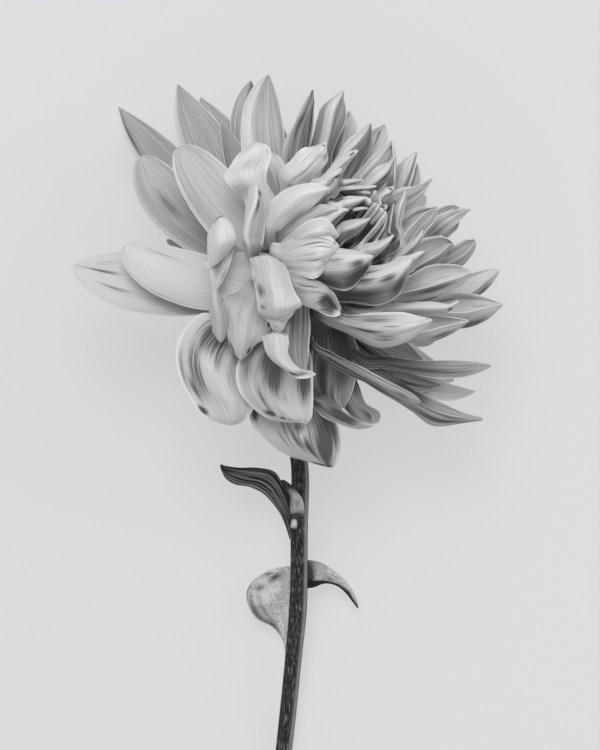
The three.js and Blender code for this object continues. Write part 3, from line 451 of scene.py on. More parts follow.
# The narrow petals low on the right, painted darker with their tone because they lie in shade.
LOW_RIGHT = [
    dict(
        tip=(59.5, -31.5, -4), mid=(35, -27, 4), wide=10, blunt=0.9, cup=1.6, face=LOW, tone=(0.4, 0.2),
        marks=((0, 0.5, 0.3, 0.3, 0.5),),
    ),
    dict(
        tip=(46.5, -29.5, 4), mid=(27, -24, 8), wide=10, blunt=0.9, cup=1.6, face=LOW, tone=(0.8, 0.5),
        marks=((0, 0.6, 0.3, 0.3, 0.6),),
    ),
    dict(tip=(42, -21, -6), wide=12, blunt=0.9, cup=1.6, face=LOW, tone=(0.7, 0.4)),
    drawn(
        [(21, -18.3, 16), (20.7, -20.3, 18), (20.3, -22.3, 16)],
        [(29.3, -20, 16), (29, -21.7, 19), (28.3, -23.7, 16)],
        [(37.7, -21, 15), (37.3, -23, 18), (36.7, -25, 15)],
        [(46, -21.2, 15), (45.7, -23.7, 18), (45.3, -26.7, 15)],
        [(54.3, -21.3, 14.5), (54, -23.7, 16.5), (53.7, -27, 14)],
        [(60.3, -21.7, 14), (60, -23, 15), (59.3, -25.7, 14)],
        [(64.3, -22.8, 14), (64.3, -23, 14.2), (64.2, -23.3, 14)],
        tone=(0.75, 0.4), creases=((0.45, 0.6, 0.25, 0.5),), marks=((0.2, 0.5, 0.3, 0.25, 0.7),),
    ),
    drawn(
        [(17.7, -18.3, 12), (16.7, -21, 14), (16, -23.7, 12)],
        [(27, -23, 12), (25.7, -26.3, 15), (24.3, -29.3, 12)],
        [(35, -28.2, 11), (33.7, -31.3, 14), (32, -34, 11)],
        [(42.3, -32.3, 10), (40.3, -36, 13), (38.3, -38.3, 10)],
        [(49.7, -36, 8.5), (48, -39.3, 11), (45, -42.7, 8)],
        [(56.3, -38.8, 7), (55.3, -40.5, 9), (54.3, -42, 7)],
        [(61.5, -40.3, 6), (61.7, -40.7, 6.5), (61.3, -41.1, 6)],
        tone=(0.75, 0.5), creases=((0, 0.72, 0.2, 0.6), (0.4, 0.7, 0.15, 0.5), (0.7, 0.65, 0.12, 0.4)),
        marks=((0.1, 0.8, 0.12, 0.12, 0.8), (-0.5, 0.5, 0.5, 0.14, 1.1), (0.5, 0.72, 0.12, 0.2, 0.9)),
    ),
    drawn(
        [(5.7, -15.3, 32), (5.3, -16.3, 34), (5.3, -17.3, 33)],
        [(11.7, -18.7, 34), (11, -20.3, 37), (10.3, -22.3, 34)],
        [(18.3, -22, 35), (17.3, -24, 38), (16.7, -25.7, 35)],
        [(27, -26.7, 35), (26, -28.7, 38), (24.7, -29.3, 35)],
        [(34.3, -30, 35), (33.3, -32.3, 37), (32, -34, 35)],
        [(38.7, -32.7, 34.5), (38, -34.7, 36), (37, -35.8, 34)],
        [(40.7, -34.3, 34), (40.7, -35, 34.5), (40, -35.5, 34)],
        tone=(0.8, 0.55), creases=((0.1, 0.5, 0.25, 0.3),),
        marks=(
            (0.1, 0.45, 0.14, 0.25, 1.1), (0.7, 0.6, 0.3, 0.25, 0.9), (-0.2, 0.87, 0.1, 0.04, 0.8),
            (-0.1, 0.75, 0.3, 0.1, 0.7),
        ),
    ),
    drawn(
        [(16, -9.3, 16), (10.3, -7, 20), (5, -6.3, 18)],
        [(20.3, -17.7, 14), (12.7, -17.7, 20), (5, -17.7, 19)],
        [(19.7, -27, 12), (12.3, -28.3, 18), (5, -27, 18)],
        [(17.7, -33, 12), (12.3, -33.7, 16), (7, -31.7, 15)],
        [(16, -36.7, 12), (14.7, -37, 12), (13, -36, 12)],
        tone=(0.8, 0.55), pleat=0.05,
        marks=((-0.3, 0.4, 0.6, 0.3, 1), (0.5, 0.6, 0.25, 0.3, 1), (0.1, 0.75, 0.1, 0.2, 0.8)),
    ),
    drawn(
        [(18.3, -22.7, 4), (14.7, -23, 7), (11, -23.7, 5)],
        [(20.3, -29, 6), (16.7, -29.7, 9), (12.7, -29.7, 7)],
        [(23, -35, 8), (18.8, -35, 12), (14.3, -35, 9)],
        [(27.7, -38.7, 9), (23, -39.3, 13), (17.7, -39.3, 10)],
        [(27.3, -41.7, 9), (25, -42.2, 10), (22, -42.3, 9)],
        tone=(0.8, 0.5), creases=((0.5, 0.6, 0.2, 0.3),),
        marks=((0.75, 0.5, 0.35, 0.4, 1), (-0.1, 0.8, 0.2, 0.12, 0.8), (0.25, 0.5, 0.07, 0.3, -0.9)),
    ),
    drawn(
        [(5.7, -29.7, 22), (4.7, -31.3, 24), (4, -33.3, 22)],
        [(9.7, -33, 24), (8, -35, 27), (6.3, -36.3, 24)],
        [(14.3, -36.3, 25), (12, -38.3, 29), (9.7, -39.5, 25)],
        [(18.3, -39.7, 25), (17, -41, 28), (15, -42.2, 25)],
        [(22.7, -41.3, 24), (21.7, -42.3, 26), (20, -43.5, 24)],
        [(25.3, -42.2, 23), (25, -42.7, 23.5), (24, -43.3, 23)],
        tone=(0.85, 0.2), pleat=0.08, roll=(-0.5, 0.8),
        marks=((-0.1, 0.6, 0.6, 0.2, 1.2), (0.35, 0.72, 0.25, 0.06, 0.9)),
    ),
    drawn(
        [(12.7, -2.7, 14), (8.3, -3.7, 17), (4, -5, 14)],
        [(16.3, -8.3, 14), (11.7, -10.3, 18), (5, -12.7, 14)],
        [(18.3, -13.7, 13), (14.3, -15.3, 17), (8.3, -17.7, 13)],
        [(20.3, -18.3, 12), (17.7, -19.3, 15), (13.7, -21, 12)],
        [(21.3, -21.7, 12), (20.7, -22, 12.5), (19.7, -22.3, 12)],
        tone=(0.8, 0.8),
        creases=(
            (-0.5, 0.5, 0.4, 0.2), (-0.2, 0.5, 0.4, 0.25), (0.15, 0.5, 0.4, 0.2), (0.5, 0.5, 0.4, 0.25),
        ),
    ),
    drawn(
        [(18.3, -15, 8), (17.7, -16.3, 10), (17, -17.7, 8)],
        [(26, -20.3, 9), (25.3, -22, 11), (24.3, -23.3, 9)],
        [(33.3, -24, 9), (32.3, -25.7, 11), (31.3, -27, 9)],
        [(41, -27, 8), (40, -28.3, 10), (38.7, -29.3, 8)],
        [(47.7, -29.2, 7), (47.7, -29.5, 7), (47, -29.8, 7)],
        tone=(0.75, 0.65),
    ),
]
# The three broad petals that hang over the stem, and the two between them and the middle.
SKIRT = [
    drawn(
        [(-19, -16, 20), (-21.7, -11, 23), (-25, -6.7, 20)],
        [(-17.7, -23, 24), (-25, -14.3, 30), (-31.3, -6.3, 21)],
        [(-16.7, -28.7, 26), (-27.7, -19.3, 33), (-36.5, -10.7, 21)],
        [(-15.3, -33.3, 26), (-28.3, -24.7, 34), (-39, -17.7, 21)],
        [(-14.5, -36.7, 25), (-26.7, -30.7, 32), (-38.2, -25.7, 22)],
        [(-16, -39.3, 24), (-23.7, -35.7, 29), (-35.3, -32.7, 23)],
        [(-18, -41.2, 22), (-22, -40, 26), (-31.3, -38.8, 23)],
        [(-20.3, -42.3, 22), (-22.3, -42.5, 22.5), (-25.3, -42, 22)],
        tone=(0.06, 0), shade=0, ridges=7, wave=0.15, roll=(0.3, 1.2),
        creases=((0.6, 0.46, 0.22, 0.35), (0.9, 0.62, 0.2, 0.4)),
        marks=(
            (0.1, 0.3, 0.35, 0.14, 0.9), (0.42, 0.3, 0.3, 0.16, 1), (0.52, 0.52, 0.22, 0.22, 1),
            (0.35, 0.58, 0.14, 0.16, 0.75), (0.7, 0.68, 0.14, 0.12, 0.95), (0.52, 0.46, 0.04, 0.2, -0.9),
            (0.84, 0.84, 0.14, 0.04, 1.2), (0.93, 0.6, 0.02, 0.25, 0.8), (0, 0.72, 0.05, 0.2, 0.4),
            (0.3, 0.8, 0.06, 0.14, 0.35), (-0.3, 0.6, 0.05, 0.2, 0.3), (-0.15, 0.35, 0.2, 0.2, 0.7),
            (-0.45, 0.45, 0.2, 0.2, 0.5),
        ),
    ),
    drawn(
        [(2.3, -12.7, 26), (-5, -11.7, 30), (-11.7, -14.3, 27)],
        [(4.3, -19.7, 29), (-5.7, -18.3, 35), (-17, -18.3, 30)],
        [(5, -26, 31), (-6.7, -25.3, 37), (-19.7, -24, 31)],
        [(5, -31.7, 31), (-6.7, -31, 37), (-19, -30.3, 31)],
        [(5, -36.3, 31), (-5.3, -36.3, 36), (-15, -35.5, 30)],
        [(4.7, -39.7, 30), (-2.3, -40, 34), (-9.7, -39.8, 29)],
        [(3.3, -42, 29), (0, -41.5, 31), (-4, -41.5, 28.5)],
        tone=(0.42, 0.12), pleat=0.14, ridges=6, wave=0.12, roll=(0.5, 0.9),
        creases=((0.5, 0.66, 0.16, 0.45), (-0.28, 0.6, 0.3, 0.25)),
        marks=(
            (0.25, 0.33, 0.3, 0.18, 0.95), (0.05, 0.45, 0.36, 0.2, 1), (-0.72, 0.46, 0.24, 0.26, 1.05),
            (0.75, 0.42, 0.2, 0.12, 0.6), (-0.15, 0.62, 0.25, 0.1, 0.55), (0.62, 0.8, 0.2, 0.04, 1.2),
            (0.35, 0.86, 0.15, 0.03, 1.1), (0.1, 0.9, 0.12, 0.02, 1.1), (0.55, 0.66, 0.03, 0.14, 0.9),
            (-0.5, 0.5, 0.03, 0.2, -0.7), (-0.28, 0.6, 0.04, 0.2, -0.7),
        ),
    ),
    drawn(
        [(8.3, -29.3, 10), (0.3, -29.3, 16), (-11.7, -32.7, 12)],
        [(11.3, -37, 14), (0.3, -37, 22), (-15.5, -38.3, 14)],
        [(13.7, -44.3, 15), (1.7, -43.7, 24), (-13.7, -43.7, 15)],
        [(14.7, -50.3, 14), (3, -48.3, 23), (-9.7, -48.3, 15)],
        [(13.7, -54.3, 13), (5, -51.7, 19), (-4.3, -51.8, 14)],
        [(12, -56.3, 12), (8, -55, 14), (2, -54, 12)], [(11, -56.7, 12), (9.3, -56.2, 12), (7.3, -55.8, 11)],
        tone=(0.12, 0.1), shade=0, ridges=5, wave=0.12, roll=(0.5, 0.5),
        creases=((0.55, 0.52, 0.2, 0.4), (0.22, 0.58, 0.2, 0.6), (-0.08, 0.64, 0.22, 0.6)),
        marks=(
            (-0.5, 0.65, 0.4, 0.42, 1.05), (-0.75, 0.4, 0.25, 0.3, 1.1), (0.9, 0.3, 0.1, 0.07, 1.2),
            (0.05, 0.42, 0.25, 0.08, 0.6), (0.2, 0.93, 0.9, 0.06, 1.3), (0.9, 0.86, 0.12, 0.12, 1.1),
            (-0.6, 0.9, 0.4, 0.12, 1.2), (0.55, 0.5, 0.03, 0.2, 0.8), (0.22, 0.55, 0.03, 0.2, 1.1),
            (-0.1, 0.6, 0.03, 0.25, -0.7), (0, 0.66, 0.04, 0.2, 1), (0.12, 0.62, 0.12, 0.12, 0.5),
            (-0.2, 0.5, 0.2, 0.2, 0.6), (0.35, 0.45, 0.2, 0.2, 0.6),
        ),
    ),
    drawn(
        [(-9.7, 0.3, 33), (-12.7, 3, 35), (-15, 5.3, 33)],
        [(-9.7, -5, 37), (-14.7, -1.7, 40), (-20, 1.2, 36)],
        [(-9.7, -10.3, 39), (-17, -6, 43), (-25.2, -1.3, 38)],
        [(-10.7, -14, 39), (-17.3, -10.7, 43), (-24, -8, 39)],
        [(-13.7, -16.3, 38), (-17.7, -14.7, 42), (-22.7, -14.3, 38)],
        [(-16, -19, 37), (-18, -18, 40), (-21, -18.2, 37)],
        [(-17.7, -20.5, 36.5), (-18.5, -20.8, 36.7), (-19.5, -20.2, 36.5)],
        tone=(0.1, 0.14), shade=0.12, pleat=0.05, ridges=6,
        marks=(
            (0.9, 0.82, 0.14, 0.12, 1.2), (0.2, 0.45, 0.2, 0.12, 0.35), (-0.75, 0.82, 0.25, 0.07, 1.1),
            (-0.2, 0.6, 0.15, 0.15, 0.4), (0.93, 0.35, 0.05, 0.2, 0.8), (0.35, 0.25, 0.3, 0.12, 0.35),
        ),
    ),
    drawn(
        [(3.3, -1, 34), (0.7, -1, 36), (-2, -2.3, 34)], [(4.3, -9.3, 38), (0.7, -10, 36), (-3.3, -11, 37)],
        [(4, -17.7, 39), (0.3, -18.3, 37), (-3.3, -18.3, 38)],
        [(3.3, -23.7, 38), (1.7, -24.7, 37.5), (0, -23, 37.5)],
        [(3.7, -26.3, 37), (3, -26.7, 37), (2.3, -26.3, 37)],
        tone=(0.55, 0.55), shade=0.12, ridges=4,
        creases=((-0.4, 0.5, 0.35, 0.15), (0.05, 0.5, 0.35, 0.12), (0.45, 0.5, 0.35, 0.15)),
    ),
]
# The petals that turn, fold and hook in front of the others.
TURNED = [
    drawn(
        [(-22, -7, 30), (-24, -8.3, 32), (-26.3, -9, 30)],
        [(-22.7, -12, 36), (-25, -15, 38), (-27.2, -12.3, 36)],
        [(-23.2, -7.7, 43), (-26, -7, 46), (-28.7, -5.7, 42)],
        [(-25, -1.3, 46), (-27, -1.3, 48.5), (-29, -1, 45)],
        [(-25.8, 2, 46), (-27, 2.2, 47.5), (-28.2, 2.7, 46)],
        [(-24.2, 5.3, 45), (-26.3, 6, 45), (-28.5, 8.3, 45)],
        [(-22.2, 9.7, 43), (-25, 10.7, 43), (-28.7, 11.7, 43)],
        [(-20.7, 15, 42), (-23.7, 16.3, 42), (-28.3, 15.7, 41)],
        [(-20.3, 19, 40), (-23.7, 19.7, 40), (-27.3, 19, 39)],
        [(-22.3, 22.3, 38), (-24, 22.3, 38), (-25.7, 21.7, 38)],
        tone=(0, 0.35), pleat=0.06, wave=0.1,
        marks=((0, 0.14, 0.9, 0.05, 0.7), (0.2, 0.66, 0.7, 0.1, 0.7), (-0.75, 0.62, 0.2, 0.1, 0.7)),
    ),
    drawn(
        [(-21.7, 18, 39), (-25, 14.3, 40), (-28, 11, 39)],
        [(-20.5, 16.7, 45), (-24.5, 12.3, 45.5), (-28.5, 8.7, 45)],
        [(-20, 18.7, 48), (-24.7, 16.3, 52), (-29.5, 13.3, 47)],
        [(-20.3, 21, 48), (-25, 20, 53), (-29.7, 18, 47)],
        [(-21.3, 23.3, 47), (-25, 22.8, 51.5), (-29.3, 20.5, 46)],
        [(-22.7, 25.1, 46), (-25, 25.1, 49), (-27.8, 23.3, 46)],
        [(-24.2, 25.9, 46), (-25.2, 25.9, 46.3), (-26.5, 25.2, 46)],
        tone=(0.02, 0), pleat=0.05, wave=0.12, roll=(0.2, 0.4),
        marks=((0.9, 0.4, 0.08, 0.1, 0.3), (0, 0.97, 1.2, 0.05, 1.3), (0.6, 0.9, 0.4, 0.08, 0.8)),
    ),
    drawn(
        [(-6.3, 15, 34), (-5.3, 15.7, 36), (-3.7, 13.7, 34)],
        [(-2.3, 19.7, 42), (-1, 17.7, 47), (0.3, 15, 43)], [(1.3, 22.5, 46), (3, 19.7, 52), (4, 16.7, 45)],
        [(5, 24.7, 47), (6.7, 21, 54), (7.3, 17.3, 46)], [(8.3, 25.1, 47), (10, 21.7, 53), (10.3, 17.7, 46)],
        [(11.3, 23.3, 47), (12, 21, 50), (12, 18.2, 46)],
        [(13.5, 20.3, 46), (13.7, 19.8, 46.3), (13.3, 19.2, 46)],
        tone=(0, 0.03), pleat=0.08, ridges=4, wave=0.1, roll=(0.5, 0.2), creases=((-0.1, 0.75, 0.14, 0.35),),
        marks=((0.35, 0.72, 0.35, 0.1, 0.5), (0.1, 0.8, 0.12, 0.1, 0.35)),
    ),
    drawn(
        [(-4.3, 11.7, 37), (-6.7, 11.7, 38), (-9, 12, 37)], [(-3.7, 14, 41), (-5.7, 15, 42), (-8, 14.3, 40)],
        [(-3.7, 16.7, 42), (-4.7, 17, 43), (-6, 16.8, 41)],
        [(-4, 18.8, 42), (-4.2, 18.9, 42.2), (-4.5, 18.8, 42)],
        tone=(0.45, 0.4), shade=0, pleat=0.1, marks=((0.8, 0.5, 0.1, 0.3, 0.5),),
    ),
    drawn(
        [(-15, 22.3, 28), (-11.7, 23, 30), (-7, 25, 28)],
        [(-17.7, 32.3, 31), (-13, 32.7, 33), (-7.3, 32, 30)],
        [(-22.3, 36.7, 36), (-16.3, 38, 37), (-10.5, 37.7, 33)],
        [(-23.8, 39.7, 37), (-17.7, 41.7, 38), (-10.3, 42, 34)],
        [(-21.3, 43.7, 38), (-15.7, 45.3, 39), (-8.8, 46, 34)],
        [(-18, 47.7, 36), (-14.3, 48.7, 38), (-9.5, 48.7, 34)],
        [(-15, 50, 34), (-13.3, 50.5, 34.5), (-11.7, 50.3, 34)],
        tone=(0.02, 0.05), shade=0.05, pleat=0.08, roll=(0.3, 0.8),
        marks=((0.9, 0.5, 0.12, 0.12, 0.45), (0.9, 0.8, 0.12, 0.1, 0.5), (0, 0.75, 0.05, 0.15, 0.2)),
    ),
    drawn(
        [(-15.3, 10.3, 30), (-14, 10.3, 32), (-12.3, 11, 30)],
        [(-18, 16.3, 40), (-15.7, 15.7, 45), (-11.3, 15.7, 40)],
        [(-19, 20, 42), (-16.7, 19.7, 48), (-10.3, 19, 41)],
        [(-18, 25, 43), (-15.7, 25, 50), (-9.8, 24, 41)],
        [(-17.2, 30, 44), (-14, 29.7, 50.5), (-9.9, 28.7, 42)],
        [(-16.8, 33, 44), (-13.3, 33, 50), (-10.5, 31.3, 43)],
        [(-16.2, 34.8, 45), (-13.3, 35.3, 48.5), (-11.2, 33.7, 44)],
        [(-14.8, 36.1, 46), (-13.3, 36.4, 46.5), (-12, 35.3, 46)],
        tone=(0, 0.02), pleat=0.1, folds=((0.12, 0, 0.25, 0.8),),
        marks=(
            (0.3, 0.64, 0.12, 0.12, 1), (0.35, 0.8, 0.3, 0.05, 0.9), (-0.2, 0.8, 0.06, 0.1, 0.4),
            (0.6, 0.35, 0.3, 0.12, 0.4),
        ),
    ),
    drawn(
        [(-10.5, 20.3, 34), (-9, 19, 36), (-7, 18.7, 34)], [(-10.2, 27.7, 38), (-8, 25, 43), (-5, 22.3, 40)],
        [(-7, 32.3, 42), (-3.7, 29, 47), (-0.3, 26, 42)], [(-1.7, 36, 44), (1, 33, 49), (4, 28.7, 44)],
        [(4.3, 36.9, 46), (6, 34.3, 49), (7.7, 32, 45)], [(9, 36, 47), (9.5, 35, 47.5), (9.7, 34.3, 47)],
        [(10.5, 35.4, 47), (10.7, 35.2, 47), (10.6, 35, 47)],
        shade=0, pleat=0.08, creases=((-0.35, 0.66, 0.2, 0.12),),
        marks=((-0.2, 0.5, 0.08, 0.2, 0.3), (0.6, 0.25, 0.3, 0.1, 0.2)),
    ),
    drawn(
        [(-6.7, 19, 30), (-4.7, 17, 31), (-1.7, 15.7, 29)], [(-1.7, 25, 36), (0.3, 22.7, 38), (3, 20, 35)],
        [(3.7, 28.7, 40), (5.7, 26.3, 42), (8.3, 23, 39)], [(8.3, 30.2, 42), (10, 28.3, 44), (12, 25.3, 41)],
        [(13, 29.3, 43.5), (13.3, 28.7, 44), (13.7, 28, 43.5)],
        tone=(0.2, 0.12), shade=0.05, pleat=0.1, folds=((0.1, 0, 0.15, 0.5),),
        marks=((0.6, 0.6, 0.3, 0.15, 0.4), (-0.2, 0.75, 0.06, 0.2, 0.4)),
    ),
    drawn(
        [(-8.3, 16.3, 36), (-8.7, 14.3, 39), (-8, 11.7, 36)],
        [(-4.3, 17, 43), (-4.7, 13, 48), (-4.3, 8.3, 44)], [(0.7, 19, 48), (1.7, 14, 55), (1.3, 7, 49)],
        [(6, 20.2, 50), (7, 15, 58), (5.3, 6, 52)], [(10.3, 19.3, 50), (10.3, 15, 56), (8.3, 8.7, 50)],
        [(12.3, 17.8, 49), (12, 15, 52), (10.5, 11.8, 49)],
        [(13.8, 16.5, 47), (13.5, 15.8, 48), (12.8, 14.8, 47)],
        pleat=0.1, ridges=5, wave=0.1, roll=(0.4, 0.7),
        creases=(
            (-0.68, 0.62, 0.2, 0.4), (-0.42, 0.55, 0.2, 0.5), (-0.15, 0.64, 0.18, 0.45),
            (0.12, 0.5, 0.2, 0.35), (0.42, 0.56, 0.16, 0.4),
        ),
        marks=(
            (-0.75, 0.86, 0.2, 0.04, 0.9), (0.85, 0.82, 0.1, 0.1, 0.5), (0.55, 0.68, 0.1, 0.05, 0.6),
            (0.93, 0.6, 0.04, 0.25, 0.5), (-0.3, 0.75, 0.06, 0.05, 0.6),
        ),
    ),
    drawn(
        [(-4.3, 10.3, 46), (-9, 12.7, 48), (-14.7, 12, 46)],
        [(-2.8, 7.3, 52), (-8.3, 9.7, 57), (-14.8, 9, 52)],
        [(-1.8, 4, 55), (-7.3, 4.3, 61), (-14.2, 5.3, 55)],
        [(-0.3, 0.3, 55), (-6.3, 0, 62), (-13.3, 1.3, 55)],
        [(1, -1.8, 55), (-5.7, -3.7, 62), (-13, -2.7, 55)],
        [(1.5, -2.8, 54), (-5.7, -5.7, 59.5), (-12.7, -4.7, 54.5)],
        [(1, -3.7, 52), (-6, -7.2, 56), (-12.3, -5.8, 52)],
        [(-1.3, -4.2, 49), (-6, -6.3, 51), (-10.7, -5.3, 49)],
        tone=(0.1, 0.1), pleat=0.07, wave=0.12,
        marks=(
            (0.72, 0.48, 0.25, 0.1, 0.8), (0.6, 0.6, 0.25, 0.06, 0.5), (0.72, 0.66, 0.2, 0.07, 0.8),
            (0.97, 0.22, 0.05, 0.07, 1.1), (0.95, 0.38, 0.05, 0.05, 1), (0.85, 0.55, 0.2, 0.25, 0.3),
            (0, 0.8, 1.2, 0.01, 0.9), (0, 0.98, 1.2, 0.02, 1.2),
        ),
    ),
    drawn(
        [(-0.3, -3, 49), (-5.7, -5, 52), (-11.3, -5, 49)],
        [(-1, -5.3, 51), (-5.7, -7.3, 54), (-10.5, -7, 51)],
        [(-3, -8.3, 51), (-6, -9.7, 53.5), (-9, -9.3, 51)],
        [(-4.7, -11, 50), (-6, -11.7, 51), (-7.5, -11.3, 50)],
        [(-5.3, -12, 49.5), (-6, -12.3, 49.7), (-6.7, -12.1, 49.5)],
        tone=(0.3, 0), pleat=0.08,
        marks=(
            (0, 0.3, 0.9, 0.07, 0.9), (-0.3, 0.5, 0.4, 0.05, 0.7), (0.3, 0.62, 0.3, 0.05, 0.6),
            (0, 0.9, 0.6, 0.04, 0.5),
        ),
    ),
    drawn(
        [(-4.3, 7.7, 43), (-3.7, 5, 46), (-3, 1.7, 43), (-2.7, 0.3, 42)],
        [(0, 7.7, 48), (1.3, 3, 52.5), (1.7, -2, 48), (2, -3.3, 46)],
        [(5.3, 5.8, 49), (6.7, 2.3, 54.5), (6, -2.3, 50), (6.3, -5, 46)],
        [(9.3, 3.5, 49), (10, 1.3, 53), (9, -1.3, 48), (9.7, -6.5, 47)],
        [(12, 0.7, 48.5), (12.2, -0.7, 47), (11.7, -3, 44), (12.3, -6.7, 47)],
        [(14.5, -4, 46), (14.4, -4.7, 45.5), (14.2, -5.3, 45), (14.3, -6.2, 46)],
        pleat=0.05, wave=0.08, folds=((-0.1, 0.3, 0, 0.3),), creases=((-0.4, 0.42, 0.2, 0.45),),
        marks=((0.45, 0.72, 0.6, 0.2, 1.3), (0.3, 0.88, 0.4, 0.08, 1.2), (-0.35, 0.4, 0.05, 0.16, 0.5)),
    ),
    drawn(
        [(-2.7, -12, 46), (-6.7, -11, 47), (-10.7, -12.3, 46)],
        [(-2.7, -15.3, 50), (-6.7, -14.3, 53), (-11, -14.8, 50)],
        [(-3, -18.7, 52), (-6.3, -19.3, 55), (-10, -18.3, 51)],
        [(-1.5, -21.7, 52), (-4.3, -22.7, 55), (-7.7, -21.5, 51)],
        [(1, -24, 51.5), (-1.3, -25, 52.5), (-4, -24.2, 50.5)],
        [(2.7, -24.7, 50), (0.7, -25.8, 47), (-2, -26.2, 49.5)],
        [(4.3, -24.7, 49.5), (3.3, -26, 48.5), (0.7, -27.2, 49.5)],
        [(6.3, -25.7, 49), (5.3, -26.5, 49), (3.3, -27.1, 49)],
        tone=(0.15, 0.1), shade=0, pleat=0.04, wave=0.08,
        marks=((0.3, 0.66, 0.45, 0.04, 1.5), (0, 0.14, 1.2, 0.04, 0.8)),
    ),
    drawn(
        [(-5.3, 35.7, 26), (-3, 33, 28), (0, 33.7, 26)], [(-5.3, 41.7, 31), (-3, 38.3, 34), (0.7, 35.7, 31)],
        [(-1.7, 45, 33), (1.3, 41.7, 36), (5, 39.3, 32)], [(1.7, 48.5, 34), (5, 45.7, 36), (8.7, 42.7, 33)],
        [(5, 49.3, 34), (7.3, 47.7, 37), (10.2, 45.3, 34)], [(7.3, 49.7, 35), (8.5, 49, 37), (10, 47.7, 35)],
        [(9.3, 51, 36), (9.5, 50.7, 36.5), (9.7, 50.3, 36)],
        tone=(0, 0.03), shade=0, pleat=0.1, creases=((-0.3, 0.55, 0.2, 0.3), (0.3, 0.5, 0.2, 0.3)),
        marks=(
            (0.7, 0.72, 0.3, 0.12, 0.7), (0, 0.9, 0.35, 0.02, 1.1), (-0.3, 0.5, 0.06, 0.2, 0.5),
            (0.35, 0.45, 0.06, 0.15, 0.4),
        ),
    ),
    drawn(
        [(3, 35, 28), (4.7, 34.3, 30), (7, 33.3, 28)], [(7.7, 40, 30), (9.7, 39, 33), (12, 37.7, 30)],
        [(12.7, 44.7, 31), (14.3, 43.3, 34), (16.3, 42.3, 31)],
        [(16.3, 47.5, 32), (17.7, 46.3, 34), (19, 45.7, 32)],
        [(19.5, 48.3, 32), (20, 48, 32.5), (20, 47.3, 32)],
        shade=0, folds=((0.2, 0, 0.3, 0.5),),
        marks=((-0.1, 0.84, 0.16, 0.07, 1.3), (0.25, 0.55, 0.04, 0.3, 0.8)),
    ),
    drawn(
        [(5, 33.7, 36), (6.3, 33, 38), (8.3, 32.3, 36)], [(8, 39, 37), (9.7, 38, 39), (11.7, 36.7, 37)],
        [(11.7, 41.5, 37), (13, 40.3, 39), (14, 39.3, 37)],
        [(14.3, 42.2, 37), (14.7, 41.9, 37), (14.7, 41.5, 37)],
        shade=0, folds=((0.2, 0, 0.2, 0.4),), marks=((0.6, 0.7, 0.3, 0.13, 1.2),),
    ),
    drawn(
        [(7, 30.3, 38), (8, 29.7, 39), (9.3, 29, 38)], [(9.3, 34, 40), (11, 33.7, 41), (13, 32.7, 40)],
        [(11.7, 37.3, 40), (13, 36.7, 41), (14.7, 36.3, 40)],
        [(12.3, 38.5, 40), (13.7, 38.8, 40.5), (15, 38.7, 40)],
        tone=(0.45, 0.5), shade=0, folds=((-0.2, -0.2, 0.2, 0.3),),
        marks=((0.2, 0.5, 0.1, 0.3, 1), (-0.5, 0.7, 0.1, 0.15, 0.8), (0.6, 0.75, 0.3, 0.1, 0.9)),
    ),
]
